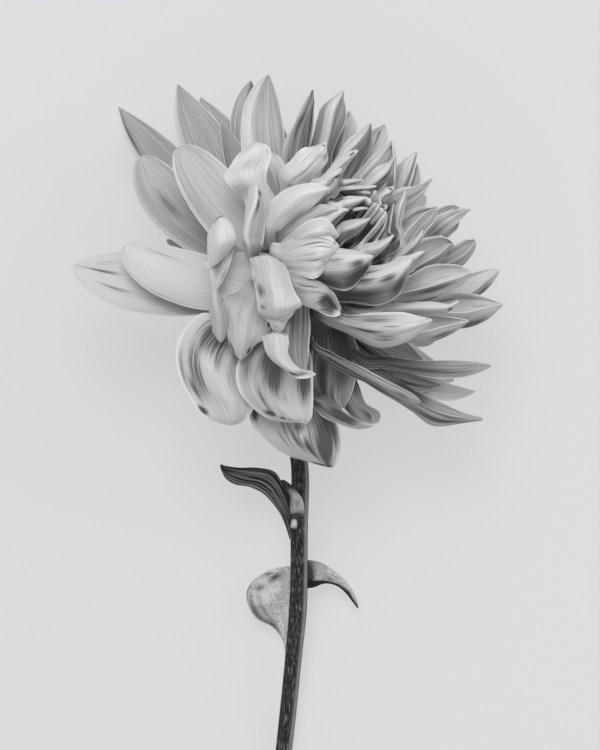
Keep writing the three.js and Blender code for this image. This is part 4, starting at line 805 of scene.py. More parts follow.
# The small petals and slivers that close round the eye, with dark sheets among them that paint the shade in
# the gaps.
ROUND_THE_EYE = [
    drawn(
        [(11, 19.7, 36), (11.7, 17, 38), (13, 14.3, 36)],
        [(13.7, 24.2, 38), (14.7, 21, 41.5), (16, 17.7, 38)],
        [(17.3, 25.6, 39), (18.7, 23, 42.5), (20, 20, 39)],
        [(21, 25.9, 40), (21.8, 24.3, 42.5), (22.3, 22.5, 40)],
        [(24, 25.7, 40), (24.1, 25.5, 40.5), (24, 25.1, 40)],
        tone=(0.1, 0), folds=((0.15, 0, 0.42, 0.7),),
        marks=((0.1, 0.3, 0.35, 0.2, 0.8), (0.3, 0.5, 0.2, 0.15, 0.6), (0.6, 0.25, 0.2, 0.25, 0.9)),
    ),
    drawn(
        [(17.7, 14.3, 38), (19, 11.7, 40), (21, 9.7, 38)], [(21.3, 17, 40), (23, 14.7, 43), (24.7, 12, 40)],
        [(25.2, 18, 41), (26.7, 16, 44), (28.3, 15, 41)],
        [(28.7, 19, 42), (29.7, 18.2, 43.5), (30.5, 17.3, 42)],
        [(31.7, 20.2, 42), (31.8, 20, 42.2), (31.8, 19.7, 42)],
        folds=((0.45, 0, 0.25, 0.4),),
        marks=((0.1, 0.25, 0.3, 0.2, 0.8), (0.35, 0.5, 0.15, 0.2, 0.5), (0.6, 0.25, 0.2, 0.25, 0.9)),
    ),
    drawn(
        [(5.7, 23.7, 40), (7, 21.7, 42), (9.7, 19.7, 40)],
        [(8.7, 27.7, 41), (10.7, 25.3, 43), (12.3, 23, 40)],
        [(12.7, 29.6, 42), (14, 27.7, 43.5), (15, 25.7, 41)],
        [(15.2, 29.3, 42.5), (15.8, 28.3, 43.2), (16.2, 27, 42)],
        [(17, 28.3, 43), (17.1, 28.2, 43), (17, 27.9, 43)],
        folds=((0.35, 0, 0.75, 0.5),), marks=((-0.8, 0.5, 0.15, 0.2, 0.5),),
    ),
    drawn(
        [(8.3, 28.3, 37), (10, 27, 39), (12, 25.3, 37)],
        [(12.7, 31.8, 38), (14.7, 30, 40.5), (16, 28.3, 38)],
        [(16.7, 33, 38), (18.3, 31.3, 40.5), (19.3, 29.7, 38)],
        [(20.3, 33, 38), (21.2, 32.1, 39.5), (21.3, 31, 38)],
        [(23, 32.6, 38), (23.1, 32.4, 38.2), (23, 32.1, 38)],
        folds=((0.7, 0, 0.5, 0.2),), marks=((-0.75, 0.42, 0.2, 0.13, 1.2), (0.9, 0.65, 0.1, 0.2, 1.2)),
    ),
    drawn(
        [(15, 27.3, 35), (15.3, 27.2, 36), (15.7, 26.8, 35)],
        [(18.3, 29.1, 36), (18.7, 28.3, 37.2), (19, 27.7, 36)],
        [(21.3, 29.6, 36.5), (21.7, 28.8, 37.5), (21.8, 28, 36.3)],
        [(23.3, 29.2, 36.5), (23.6, 28.8, 36.7), (23.4, 28.3, 36.3)],
        folds=((0.2, 0, 0.6, 0.3),),
    ),
    drawn(
        [(9.7, 34.7, 34), (10, 34, 36), (10.3, 33.3, 34)],
        [(13.7, 36.3, 34), (14.2, 35.3, 36.5), (14.7, 34.2, 34)],
        [(17.7, 36.8, 34), (18.2, 35.7, 36.5), (18.7, 34.3, 34)],
        [(22, 36.7, 34), (22.7, 35.8, 36), (23, 34.9, 34)],
        [(26, 36.5, 34), (26.2, 36.2, 34), (26, 35.9, 34)],
        folds=((0.4, 0, 0.65, 0.4),),
    ),
    drawn(
        [(11.7, 37, 33), (12.2, 36.3, 35), (12.7, 35.5, 33)],
        [(14.8, 38.7, 33), (15.3, 37.3, 35.5), (15.8, 36.2, 33)],
        [(18.3, 39.1, 33), (18.7, 38.1, 35.5), (19, 37, 33)],
        [(21.5, 38.5, 33), (21.7, 38.3, 33), (21.5, 38, 33)],
        folds=((0.45, 0, 0.85, 0.4),),
    ),
    # A dark band that paints the shadow under the petals above it.
    drawn(
        [(11, 34.7, 31), (11.3, 33.3, 32.5), (11.7, 32, 31)],
        [(16, 34.8, 31), (16.3, 33.7, 32.5), (16.7, 32.3, 31)],
        [(20.3, 34.3, 31), (20.5, 33.3, 32.5), (20.7, 32.3, 31)],
        [(23.3, 33.3, 31), (23.5, 32.8, 31), (23.3, 32.3, 31)],
        tone=(1, 1), folds=((-0.1, -0.25, 0, 0.2),),
    ),
    drawn(
        [(17.3, 15.3, 35), (18.7, 15, 37), (20.3, 15, 35)], [(21, 19, 36), (22.3, 18.7, 39), (24, 18, 36)],
        [(24.3, 23, 37), (25.7, 22.3, 41), (27.3, 21.7, 37)],
        [(27, 26.5, 38), (28.2, 25.7, 41), (29.5, 24.7, 37.5)],
        [(28.8, 27.9, 38), (29.2, 27.7, 38.2), (29.6, 27.2, 38)],
        folds=((0.1, 0, 0.3, 0.6), (0.35, 0, -0.2, 0.3)),
        marks=((0.12, 0.55, 0.05, 0.25, 1.2), (0.1, 0.75, 0.05, 0.1, 1)),
    ),
    drawn(
        [(22.3, 15.7, 31), (23.3, 15.3, 33), (24.7, 15, 31)],
        [(25, 19.7, 32), (26.3, 19.3, 35), (28, 19, 32)],
        [(27.3, 23, 33), (28.5, 22.8, 36), (29.7, 22.7, 33)],
        [(29.5, 26.8, 34), (29.7, 26.8, 34.3), (29.8, 26.5, 34)],
        folds=((0.3, 0, 0.85, 0.5),), marks=((-0.2, 0.5, 0.06, 0.3, 1.1),),
    ),
    drawn(
        [(27.3, 17.7, 30), (29, 17.3, 32), (31.3, 17.3, 30)],
        [(29, 21.7, 30), (30.3, 21.7, 33), (32.3, 21.3, 30)],
        [(29.8, 26, 31), (31, 26, 34), (32.5, 25.7, 31)],
        [(30.8, 28.7, 31), (31.6, 28.7, 33), (32.3, 28.3, 31)],
        [(31.7, 30.4, 31), (31.9, 30.4, 31.2), (32, 30.3, 31)],
        tone=(0.1, 0), folds=((0.15, 0, 0.85, 0.6),), marks=((-0.2, 0.25, 0.5, 0.12, 1.2),),
    ),
    drawn(
        [(23, 27.7, 27), (24.7, 27.7, 29), (27, 27.7, 27)], [(24.2, 31, 28), (25.7, 30.7, 31), (28, 30, 28)],
        [(25.5, 33.2, 28), (27.3, 32.7, 32), (30, 31.7, 28)],
        [(27.7, 35.2, 28), (29.3, 34.3, 32), (31.7, 33.2, 28)],
        [(29.7, 36.2, 28), (31, 35.8, 30), (32.3, 35, 28)],
        [(31.3, 36.2, 28), (31.8, 36.1, 28), (32.3, 35.7, 28)],
        folds=((0.35, 0, 0.2, 0.5),),
        marks=((0.1, 0.78, 0.2, 0.04, 1.4), (0.65, 0.72, 0.08, 0.1, 1.3), (0.3, 0.6, 0.1, 0.1, 0.7)),
    ),
    # A dark sheet behind the others, which paints the shade in the gaps round the eye.
    drawn(
        [(13.7, 14.3, 23), (16, 13, 25), (18.3, 11.7, 23)],
        [(15.3, 20.7, 24), (19.7, 18, 26), (24.3, 15.7, 24)],
        [(15, 27.7, 24), (21.7, 23.7, 26), (27.7, 21, 24)],
        [(17.7, 32.3, 24), (23, 28.3, 26), (29, 26.3, 24)], [(21.7, 33, 24), (24.3, 31, 25), (27, 29.7, 24)],
        [(24, 32.7, 24), (24.7, 32.2, 24), (25.3, 31.7, 24)],
        tone=(1, 1), shade=0.3, pleat=0.2,
    ),
    # A dark strip that paints the shade in the gap between two petals.
    drawn(
        [(16, 15, 32), (16.7, 14.7, 33), (17.7, 14.3, 32)],
        [(19.7, 19, 33), (20.7, 18.7, 34), (21.7, 18.2, 33)],
        [(23, 23.7, 34), (23.8, 23.2, 35), (24.7, 22.7, 34)],
        [(25, 26.5, 34), (25.3, 26.3, 34), (25.7, 25.8, 34)],
        tone=(1, 1), folds=((0, -0.15, 0, 0.3),),
    ),
    drawn(
        [(23.8, 26.3, 36), (24.4, 26.2, 37), (25, 26, 36)],
        [(24.6, 29.3, 38), (25.1, 29.2, 39), (25.6, 29, 38)],
        [(24.9, 29.9, 38), (25.1, 29.9, 38), (25.3, 29.8, 38)],
        tone=(0.1, 0),
    ),
    drawn(
        [(25.3, 25.7, 36), (26, 25.5, 37), (26.7, 25.3, 36)],
        [(26.1, 29.3, 38), (26.6, 29.2, 39), (27.1, 29, 38)],
        [(26.3, 30.2, 38), (26.6, 30.3, 38), (26.9, 30.1, 38)],
        tone=(0.1, 0),
    ),
    drawn(
        [(23.2, 28, 37), (23.9, 27.8, 38), (24.6, 27.8, 37)],
        [(23.3, 30.2, 37.5), (24, 30.2, 38.5), (24.7, 30.5, 37.5)],
        [(22.6, 31.2, 37.5), (23, 31.9, 38.5), (24, 32.2, 37.5)],
        [(22.1, 30.7, 37.3), (22.2, 30.9, 37.5), (22.3, 31.1, 37.3)],
        tone=(0.2, 0),
    ),
    drawn(
        [(27.2, 27, 35), (27.6, 27, 36), (28, 27, 35)], [(27.1, 30, 36), (27.5, 30, 37), (27.9, 30, 36)],
        [(26.9, 32.2, 36), (27.1, 32.3, 36), (27.3, 32.1, 36)],
        tone=(0.1, 0.1),
    ),
    # A small dark piece that paints the shade in a hole between the petals.
    drawn(
        [(28, 27, 34), (28.4, 27, 35), (28.9, 27, 34)],
        [(27.9, 29.7, 35), (28.3, 29.7, 35.6), (28.7, 29.5, 35)],
        [(27.5, 31.5, 35), (27.7, 31.6, 35), (27.9, 31.4, 35)],
        tone=(1, 1),
    ),
    drawn(
        [(23.8, 31.7, 35), (24.2, 31.7, 35.6), (24.7, 31.7, 35)],
        [(23.3, 33.5, 35), (24, 33.9, 36), (24.7, 33.7, 35)],
        [(21.9, 33.8, 35), (22.1, 34, 35), (22.2, 34.1, 35)],
        tone=(0.15, 0),
    ),
]
LISTED = [*LEFT_FAN, *CROWN_PETALS, *BOATS, *LOW_RIGHT, *SKIRT, *TURNED, *ROUND_THE_EYE]

# The bloom's outline from above, which the petals of the spiral stay inside.
RIM = [
    (-71, 7), (-60, 20), (-50, 22), (-48, 34), (-50, 48), (-54, 58), (-38, 66), (-30, 62),
    (-12, 68), (-2, 54), (5, 64), (17, 63), (30, 54), (40, 44), (44, 34), (54, 27),
    (57, 17), (65, 6), (64, -8), (50, -14), (58, -24), (56, -34), (40, -36), (24, -38),
    (14, -44), (12, -52), (-4, -50), (-16, -36), (-24, -38), (-36, -28), (-36, -10), (-50, -6),
]

# What a petal has unless its list or its row says otherwise. Sizes are in millimetres. Across runs from -1 at
# the first margin to 1 at the last one, and along from 0 at the base to 1 at the tip.
# - wide is the flat width of a petal listed by its tip, base the share of it at the base, and widest where
#   along the petal it is reached. The smaller blunt is, the blunter is the tip. cup is the angle of its bent
#   section, in radians, and face is where its inner side looks.
# - root and mid are places that its midline goes through. bow bends a midline without them, and hook its tip.
# - rooted gives a drawn petal one more section, in the receptacle.
# - pleat and ridges are the height and the number of the ridges that run along a petal, wave and waves those
#   of the swings of its edges, and roll lifts its first and its last margin.
# - tone darkens it at its base and at its tip, side at its first and at its last margin, and shade near its
#   base, where it is deep between others. On the petals these are painted shade, where a petal turns from the
#   light, lies in the shadow of others or is deep between them. back is how far its reverse takes the outer
#   colour.
# - marks are dark places: (across, along, spread across, spread along, strength). On the petals they are
#   partly the petals' own dark streaks and partly painted shade and shadow, in creases, under folded lips and
#   where one petal shades another. One with a strength below 0 lightens the marks before it.
# - creases are short dark valleys: (across, along, reach, depth). Their darkness is painted shade.
# - folds run along it: (across, tone on the side before it, tone on the side beyond it, height). These tones
#   paint the shade on the side of a fold that turns from the light, and a tone below 0 paints a lighter band.
PLAIN_PETAL = dict(
    wide=16.0, base=0.32, widest=0.55, blunt=0.8, bow=4.0, hook=0.0, cup=1.2, face=None, root=None, mid=None,
    rooted=True, pleat=0.12, ridges=3.5, wave=0.3, waves=2.3, roll=(0.0, 0.0),
    tone=(0.0, 0.0), side=(0.0, 0.0), shade=0.2, back=1.0, marks=(), creases=(), folds=(),
)
# What the petals of one list share:
FAN_LOOK = dict(shade=0.12)
CROWN_LOOK = dict(shade=0.1, back=0.1)
BOAT_LOOK = dict(shade=0.12, back=0.15)
TURNED_LOOK = dict(shade=0.1, back=0.0)
EYE_RING_LOOK = dict(shade=0.0, pleat=0.06, wave=0.05)

CREASE_WIDTH = 0.07
# How dark the painted shade in a crease is, for its depth.
CREASE_SHADE = 1.8
FOLD_WIDTH = 0.05
SHADE_FROM = 0.2  # the deep shade is full up to here along a petal, and gone at SHADE_TO
SHADE_TO = 0.65
LEAVING = 0.18  # how far the midline's handles reach, as shares of its length
ARRIVING = 0.3
MIDDLE_SHARE = 0.75  # its middle moves by this share of what both its handles move
LEAST_HALF_WIDTH = 0.22
DRAWN_ROWS = 8  # more steps along and across a drawn petal than a plain one has
DRAWN_COLUMNS = 12
MARGIN_CROWDING = 0.35  # how much closer together a drawn petal's steps are near its margins
ROOT_NARROWING = 0.4
SECOND_RIDGE = 0.6  # finer ridges lie over the first, with this share of their height
SECOND_RIDGE_TURNS = 2.3  # and this many times their number
OTHER_EDGE_WAVES = 0.6  # how many more waves the first margin has than the last


# ---- Curves and sections ----
def unit(v):
    """The vector at length 1."""
    v = np.asarray(v, float)
    return v / np.linalg.norm(v)


def through(stops, s):
    """Places and tangents at each s of the smooth curve through the stops."""
    stops = np.array(stops, float)
    stops = np.vstack([2 * stops[0] - stops[1], stops, 2 * stops[-1] - stops[-2]])
    spans = len(stops) - 3
    before = np.minimum((s * spans).astype(int), spans - 1)
    t = (s * spans - before)[:, None]
    a, b, c, d = (stops[before + k] for k in range(4))
    leave, arrive = (c - a) / 2, (d - b) / 2
    places = (2 * t**3 - 3 * t**2 + 1) * b + (t**3 - 2 * t**2 + t) * leave
    places += (3 * t**2 - 2 * t**3) * c + (t**3 - t**2) * arrive
    tangents = (6 * t**2 - 6 * t) * (b - c) + (3 * t**2 - 4 * t + 1) * leave + (3 * t**2 - 2 * t) * arrive
    return places, tangents / np.linalg.norm(tangents, axis=1)[:, None]


def cubic(a, b, c, d, s):
    """Places and tangents at each s of a cubic curve."""
    t = s[:, None]
    places = (1 - t) ** 3 * a + 3 * t * (1 - t) ** 2 * b + 3 * t**2 * (1 - t) * c + t**3 * d
    tangents = (1 - t) ** 2 * (b - a) + 2 * t * (1 - t) * (c - b) + t**2 * (d - c)
    return places, tangents / np.linalg.norm(tangents, axis=1)[:, None]


def carried(tangents, normal):
    """The face normal carried along the tangents from the middle of the blade."""
    def flattened(v, tangent):
        return unit(v - tangent * np.dot(v, tangent))

    count = len(tangents)
    middle = count // 2
    normals = np.zeros((count, 3))
    normals[middle] = flattened(normal, tangents[middle])
    for i in range(middle + 1, count):
        normals[i] = flattened(normals[i - 1], tangents[i])
    for i in range(middle - 1, -1, -1):
        normals[i] = flattened(normals[i + 1], tangents[i])
    return normals


def section(half, cup, columns):
    """Offsets sideways and upwards of a bent section, for every row of a blade."""
    fine_step = 4
    across = np.linspace(-1, 1, fine_step * (columns - 1) + 1)
    angle = across * cup / 2
    step = half[:, None] * (across[1] - across[0])
    sideways = np.cumsum(np.cos(angle) * step, axis=1)
    upwards = np.cumsum(np.sin(angle) * step, axis=1)
    middle = len(across) // 2
    sideways -= sideways[:, middle : middle + 1]
    upwards -= upwards[:, middle : middle + 1]
    return across[::fine_step], sideways[:, ::fine_step], upwards[:, ::fine_step]


def ease_on_to_surface(places):
    """Lifts what hangs lower than the soft height, so that it lies on the surface."""
    lowest = CAD_THICKNESS / 2 - PRESSED_IN - HEAD[2]
    height = places[..., 2] - lowest
    eased = lowest + SOFT_HEIGHT * np.exp(np.minimum(height, SOFT_HEIGHT) / SOFT_HEIGHT - 1)
    places[..., 2] = np.where(height < SOFT_HEIGHT, eased, places[..., 2])


# ---- Petals ----
def petal_start(tip):
    """Where a petal leaves the receptacle, and in which direction."""
    towards = unit(tip)
    angle = math.acos(np.dot(towards, AXIS))
    side = unit(towards - AXIS * np.dot(towards, AXIS))
    turn = min(angle * EXIT_SHARE, WIDEST_EXIT)
    out = AXIS * math.cos(turn) + side * math.sin(turn)
    near = max(0.0, 1 - angle / EYE_ANGLE)
    ring = AXIS * EYE_RISE + side * EYE_RING
    return out * ROOT_RADIUS * (1 - near) + ring * near, unit(out * (1 - near) + AXIS * near)


def petal_midline(row, s):
    """Places, tangents and face normals of a petal's midline."""
    tip = np.array(row["tip"], float)
    look = AXIS if row["face"] is None else unit(row["face"])
    place, out = petal_start(tip)
    start = place if row["root"] is None else np.array(row["root"], float)
    length = np.linalg.norm(tip - start)
    along = (tip - start) / length
    normal = unit(look - along * np.dot(look, along))
    if row["root"] is not None:
        stops = [unit(start) * ROOT_RADIUS, start, tip]
        if row["mid"] is not None:
            stops.insert(2, row["mid"])
        places, tangents = through(stops, s)
        return places, tangents, carried(tangents, normal)
    near = place + (out + along) * LEAVING * length
    far = tip - along * ARRIVING * length - normal * row["hook"]
    if row["mid"] is None:
        shift = -normal * row["bow"] / MIDDLE_SHARE
    else:
        shift = (8 * np.array(row["mid"], float) - place - tip - 3 * near - 3 * far) / 6
    places, tangents = cubic(place, near + shift, far + shift, tip, s)
    return places, tangents, carried(tangents, normal)


def petal_half_width(row, s):
    """Half the width at each s: it grows from the base to the widest place and closes to the tip."""
    over = np.clip((s - row["widest"]) / (1 - row["widest"]), 0, 1)
    grow = row["base"] + (1 - row["base"]) * np.sin(np.pi / 2 * np.minimum(1, s / row["widest"])) ** 1.2
    shape = np.where(s < row["widest"], grow, (1 - over**2.2) ** row["blunt"])
    return np.maximum(LEAST_HALF_WIDTH, row["wide"] / 2 * shape)


def through_sections(sections, s, across):
    """A smooth surface through cross-sections, each from one margin to the other."""
    share = (across + 1) / 2
    lines = np.stack([through(section, share)[0] for section in sections])
    return np.stack([through(lines[:, k], s)[0] for k in range(len(across))], axis=1)


def sectioned_petal(row, seed, sizes):
    """A petal through its listed cross-sections, with ridges along it and waved or rolled edges."""
    s = np.linspace(0, 1, sizes.petal_rows + DRAWN_ROWS)
    even = np.linspace(-1, 1, sizes.petal_columns + DRAWN_COLUMNS)
    across = np.sin(even * np.pi / 2) * MARGIN_CROWDING + even * (1 - MARGIN_CROWDING)
    sections = row["sections"]
    if row["rooted"]:
        first = np.array(sections[0], float)
        middle = first.mean(axis=0)
        sections = (unit(middle) * ROOT_RADIUS + (first - middle) * ROOT_NARROWING, *sections)
    points = through_sections(sections, s, across)
    normals = np.cross(np.gradient(points, axis=1), np.gradient(points, axis=0))
    normals /= np.linalg.norm(normals, axis=2)[..., None] + 1e-9
    draw = np.random.default_rng(seed)
    lift = surface_lift(row, s, across, draw, sizes)
    points = points + normals * lift[..., None]
    ease_on_to_surface(points)
    return blade_values(row, points, s, across, draw)


def surface_lift(row, s, across, draw, sizes):
    """How far ridges, waved edges and rolled margins lift a petal's surface, in millimetres."""
    phase = draw.uniform(0, 2 * np.pi, 3)
    fade = (np.sin(np.pi * np.clip(s, 0.02, 1)) ** 0.7)[:, None]
    turns = np.pi * row["ridges"] * across[None, :]
    ridge = np.cos(turns + phase[0]) + SECOND_RIDGE * np.cos(SECOND_RIDGE_TURNS * turns + phase[1])
    lift = row["pleat"] * sizes.pleat * fade * ridge
    swing = np.sin(2 * np.pi * row["waves"] * s + phase[1])[:, None]
    other = np.sin(2 * np.pi * (row["waves"] + OTHER_EDGE_WAVES) * s + phase[2])[:, None]
    edge = np.abs(across)[None, :] ** 3
    lift = lift + row["wave"] * sizes.edge_wave * edge * fade * np.where(across[None, :] > 0, swing, other)
    rolled = np.where(across > 0, row["roll"][1], row["roll"][0]) * np.abs(across) ** 6
    for crease_across, crease_along, reach, depth in row["creases"]:
        valley = np.exp(-(((across[None, :] - crease_across) / CREASE_WIDTH) ** 2))
        lift = lift - depth * valley * np.exp(-(((s[:, None] - crease_along) / reach) ** 2))
    for fold_across, _, _, height in row["folds"]:
        lift = lift - height * np.abs(across - fold_across)[None, :] * fade
    return lift + rolled[None, :] * fade


def blade_values(row, points, s, across, draw):
    """A blade's places with the values that its material reads."""
    # The dark places are partly the petal's own streaks and partly painted shade and shadow.
    dark = np.zeros(points.shape[:2])
    for mark_across, mark_along, spread_across, spread_along, strength in row["marks"]:
        dx = (across[None, :] - mark_across) / spread_across
        dy = (s[:, None] - mark_along) / spread_along
        place = np.exp(-(dx**2) - dy**2)
        dark = np.maximum(dark, strength * place) if strength > 0 else dark * (1 + strength * place)
    # Painted shade along the valley of each crease.
    for crease_across, crease_along, reach, depth in row["creases"]:
        valley = np.exp(-(((across[None, :] - crease_across) / CREASE_WIDTH) ** 2))
        strength = min(1.0, CREASE_SHADE * depth)
        dark = np.maximum(dark, strength * valley * np.exp(-(((s[:, None] - crease_along) / reach) ** 2)))
    grid = np.meshgrid(across, s)
    # Painted shade: darker towards the base or the tip, towards the margins, and deep near the base.
    tone = row["tone"][0] + (row["tone"][1] - row["tone"][0]) * grid[1]
    tone = tone + np.where(grid[0] > 0, row["side"][1], row["side"][0]) * np.abs(grid[0]) ** 1.5
    # Each fold paints shade on the side that turns from the light, and a lighter band where its tone is below
    # 0.
    for fold_across, before, after, _ in row["folds"]:
        beyond = 0.5 + 0.5 * np.tanh((grid[0] - fold_across) / FOLD_WIDTH)
        tone = tone + before + (after - before) * beyond
    deep = np.clip((SHADE_TO - grid[1]) / (SHADE_TO - SHADE_FROM), 0, 1)
    tone = np.clip(tone + row["shade"] * deep**2 * (3 - 2 * deep), 0, 1)
    blade = dict(points=points, across=grid[0], along=grid[1], marks=dark, tone=tone)
    return dict(blade, seed=draw.uniform(), back=row["back"])


def petal_blade(row, seed, sizes):
    """One petal: the places of its middle surface, with the values that its material reads."""
    row = {**PLAIN_PETAL, **row}
    if "sections" in row:
        return sectioned_petal(row, seed, sizes)
    rows, columns = sizes.petal_rows, sizes.petal_columns
    s = np.linspace(0, 1, rows) ** 0.9
    places, tangents, normals = petal_midline(row, s)
    draw = np.random.default_rng(seed)
    turn = np.radians(draw.uniform(-1, 1) * sizes.wander * s**2)
    side = np.cross(tangents, normals)
    up = normals * np.cos(turn)[:, None] + side * np.sin(turn)[:, None]
    side = np.cross(tangents, up)
    across, sideways, upwards = section(petal_half_width(row, s), row["cup"], columns)
    upwards = upwards + surface_lift(row, s, across, draw, sizes)
    points = places[:, None] + side[:, None] * sideways[..., None] + up[:, None] * upwards[..., None]
    ease_on_to_surface(points)
    return blade_values(row, points, s, across, draw)


def petal_tip(row):
    """The place of a listed petal's tip."""
    return np.array(row["tip"], float) if "tip" in row else np.mean(row["sections"][-1], axis=0)


def inside_rim(x, y):
    """True where the place, seen from above, is inside the bloom's outline."""
    inside = False
    for (ax, ay), (bx, by) in zip(RIM, RIM[1:] + RIM[:1]):
        if (ay > y) != (by > y) and x < (bx - ax) * (y - ay) / (by - ay) + ax:
            inside = not inside
    return inside


def spiral_petals():
    """The outer petals that the lists leave out, on a golden-angle spiral round the axis."""
    tips = [petal_tip(row) for row in LISTED]
    sideways = unit(np.cross((0, 0, 1), AXIS))
    upwards = np.cross(AXIS, sideways)
    found = []
    for i in range(SPIRAL_PLACES):
        polar = SPIRAL_FROM + SPIRAL_SPREAD * ((i + 0.5) / SPIRAL_PLACES) ** SPIRAL_CROWDING
        around = i * SPIRAL_TURN
        wander = (i * 0.618034) % 1 - 0.5
        reach = SPIRAL_REACH + SPIRAL_SIDE_REACH * math.sin(min(polar, 1.55)) ** 2
        reach = reach * (1 + SPIRAL_UNEVEN * wander)
        side = sideways * math.cos(around) + upwards * math.sin(around)
        tip = reach * (AXIS * math.cos(polar) + side * math.sin(polar))
        if tip[2] < -HEAD[2]:
            flat = unit((tip[0], tip[1], 0)) * math.sqrt(reach**2 - HEAD[2] ** 2)
            tip = np.array([flat[0], flat[1], LOWEST_TIP])
        taken = min(np.linalg.norm(other - tip) for other in tips) < SPIRAL_CLEARANCE
        if tip[2] > HIGHEST_TIP or taken or not inside_rim(tip[0], tip[1]):
            continue
        tips.append(tip)
        shape = dict(wide=12 + 2.5 * polar, bow=4 + 2 * wander, cup=1.9 - 0.5 * polar)
        found.append(dict(tip=tip, tone=(0.3, 0.3 + 0.15 * wander), **shape))
    return found


# ---- Meshes ----
EDGE_THINNING = 0.55
ROOT_THICKNESS = 1.25  # as a share of the blade's given thickness
TIP_THINNING = 0.5


def blade_thickness(across, along, thickness):
    """Thick along the middle and at the root, thin at the edges and tip."""
    return thickness * (1 - EDGE_THINNING * np.abs(across) ** 3) * (ROOT_THICKNESS - TIP_THINNING * along)


def blades_object(name, blades, thickness, material):
    """One object of closed blades, with their UV map and the values that the materials read."""
    verts, faces, uvs, values = [], [], [], {"marks": [], "tone": [], "seed": [], "reverse": []}
    start = 0
    for blade in blades:
        points = blade["points"]
        rows, columns = points.shape[:2]
        slope_s = np.gradient(points, axis=0)
        slope_c = np.gradient(points, axis=1)
        normal = np.cross(slope_c, slope_s)
        normal /= np.linalg.norm(normal, axis=2)[..., None] + 1e-12
        half = blade_thickness(blade["across"], blade["along"], thickness)[..., None] / 2
        upper = (points + normal * half).reshape(-1, 3)
        lower = (points - normal * half).reshape(-1, 3)
        verts.append(np.vstack([upper, lower]))
        uv = np.stack([blade["across"] * 0.5 + 0.5, blade["along"]], axis=-1).reshape(-1, 2)
        uvs.append(np.vstack([uv, uv]))
        count = rows * columns
        values["marks"].append(np.tile(blade["marks"].reshape(-1), 2))
        values["tone"].append(np.tile(blade["tone"].reshape(-1), 2))
        values["seed"].append(np.full(2 * count, blade["seed"]))
        values["reverse"].append(np.repeat([0.0, blade["back"]], count))
        index = np.arange(count).reshape(rows, columns) + start
        a, b, c, d = index[:-1, :-1], index[:-1, 1:], index[1:, 1:], index[1:, :-1]
        faces.append(np.stack([a, b, c, d], -1).reshape(-1, 4))
        faces.append(np.stack([d, c, b, a], -1).reshape(-1, 4) + count)
        ring = np.concatenate([index[0, :], index[1:, -1], index[-1, -2::-1], index[-2:0:-1, 0]])
        following = np.roll(ring, -1)
        faces.append(np.stack([following, ring, ring + count, following + count], -1))
        start += 2 * count
    return mesh_object(name, np.vstack(verts), np.vstack(faces), np.vstack(uvs), values, material)


def mesh_object(name, verts, faces, uvs, values, material):
    """An object from places in millimetres from the receptacle, with one UV pair and values per vertex."""
    mesh = bpy.data.meshes.new(name)
    mesh.from_pydata(((verts + HEAD) * MM).tolist(), [], [list(map(int, f)) for f in faces])
    layer = mesh.uv_layers.new(name="Blade")
    loops = np.empty(len(mesh.loops), int)
    mesh.loops.foreach_get("vertex_index", loops)
    layer.data.foreach_set("uv", uvs[loops].astype(np.float32).ravel())
    for key, parts in values.items():
        attribute = mesh.attributes.new(key, "FLOAT", "POINT")
        attribute.data.foreach_set("value", np.concatenate(parts).astype(np.float32))
    mesh.shade_smooth()
    mesh.set_sharp_from_angle(angle=math.radians(60))
    mesh.update()
    piece = bpy.data.objects.new(name, mesh)
    bpy.context.scene.collection.objects.link(piece)
    mesh.materials.append(material)
    return piece


def turned_object(name, profile, sides, material):
    """A closed solid of revolution about the bloom's axis, from radius and rise."""
    across = unit(np.cross((0, 0, 1), AXIS))
    upwards = np.cross(AXIS, across)
    angles = np.linspace(0, 2 * np.pi, sides, endpoint=False)
    rings = [
        AXIS * rise + radius * (np.cos(angles)[:, None] * across + np.sin(angles)[:, None] * upwards)
        for radius, rise in profile[1:-1]
    ]
    verts = np.vstack([AXIS * profile[0][1], *rings, AXIS * profile[-1][1]])
    faces = []
    for k in range(sides):
        following = (k + 1) % sides
        faces.append((0, 1 + following, 1 + k))
        for ring in range(len(rings) - 1):
            low, high = 1 + ring * sides, 1 + (ring + 1) * sides
            faces.append((low + k, low + following, high + following, high + k))
        last = 1 + (len(rings) - 1) * sides
        faces.append((last + k, last + following, len(verts) - 1))
    share = np.concatenate([[0], np.repeat(np.linspace(0.1, 0.9, len(rings)), sides), [1]])
    turns = np.concatenate([[0], np.tile(np.linspace(0, 1, sides), len(rings)), [0]])
    uvs = np.stack([turns, share], -1)
    values = {key: [np.zeros(len(verts))] for key in ("marks", "tone", "seed", "reverse")}
    return mesh_object(name, verts, faces, uvs, values, material)


# ---- Materials ----
PETAL_TRANSLUCENCE = 0.22
SATIN = 0.3  # specular level of the petals, the receptacle and the pale leaf
DULL = 0.15  # of the stem, the dark leaf, the calyx and the florets
MATT = 0.1  # and of the surface
SURFACE_GLOW = 0.52


def new_group(name, inputs, outputs):
    """An empty node group with its sockets, and its input and output nodes."""
    group = bpy.data.node_groups.new(name, "ShaderNodeTree")
    for socket, kind, default in inputs:
        made = group.interface.new_socket(name=socket, in_out="INPUT", socket_type=kind)
        if default is not None:
            made.default_value = default
    for socket, kind in outputs:
        group.interface.new_socket(name=socket, in_out="OUTPUT", socket_type=kind)
    return group, group.nodes.new("NodeGroupInput"), group.nodes.new("NodeGroupOutput")


def math_node(tree, operation, *values, clamp=False):
    """A math node; each value is a number or a socket."""
    node = tree.nodes.new("ShaderNodeMath")
    node.operation = operation
    node.use_clamp = clamp
    for socket, value in zip(node.inputs, values):
        if isinstance(value, (int, float)):
            socket.default_value = value
        else:
            tree.links.new(value, socket)
    return node.outputs[0]


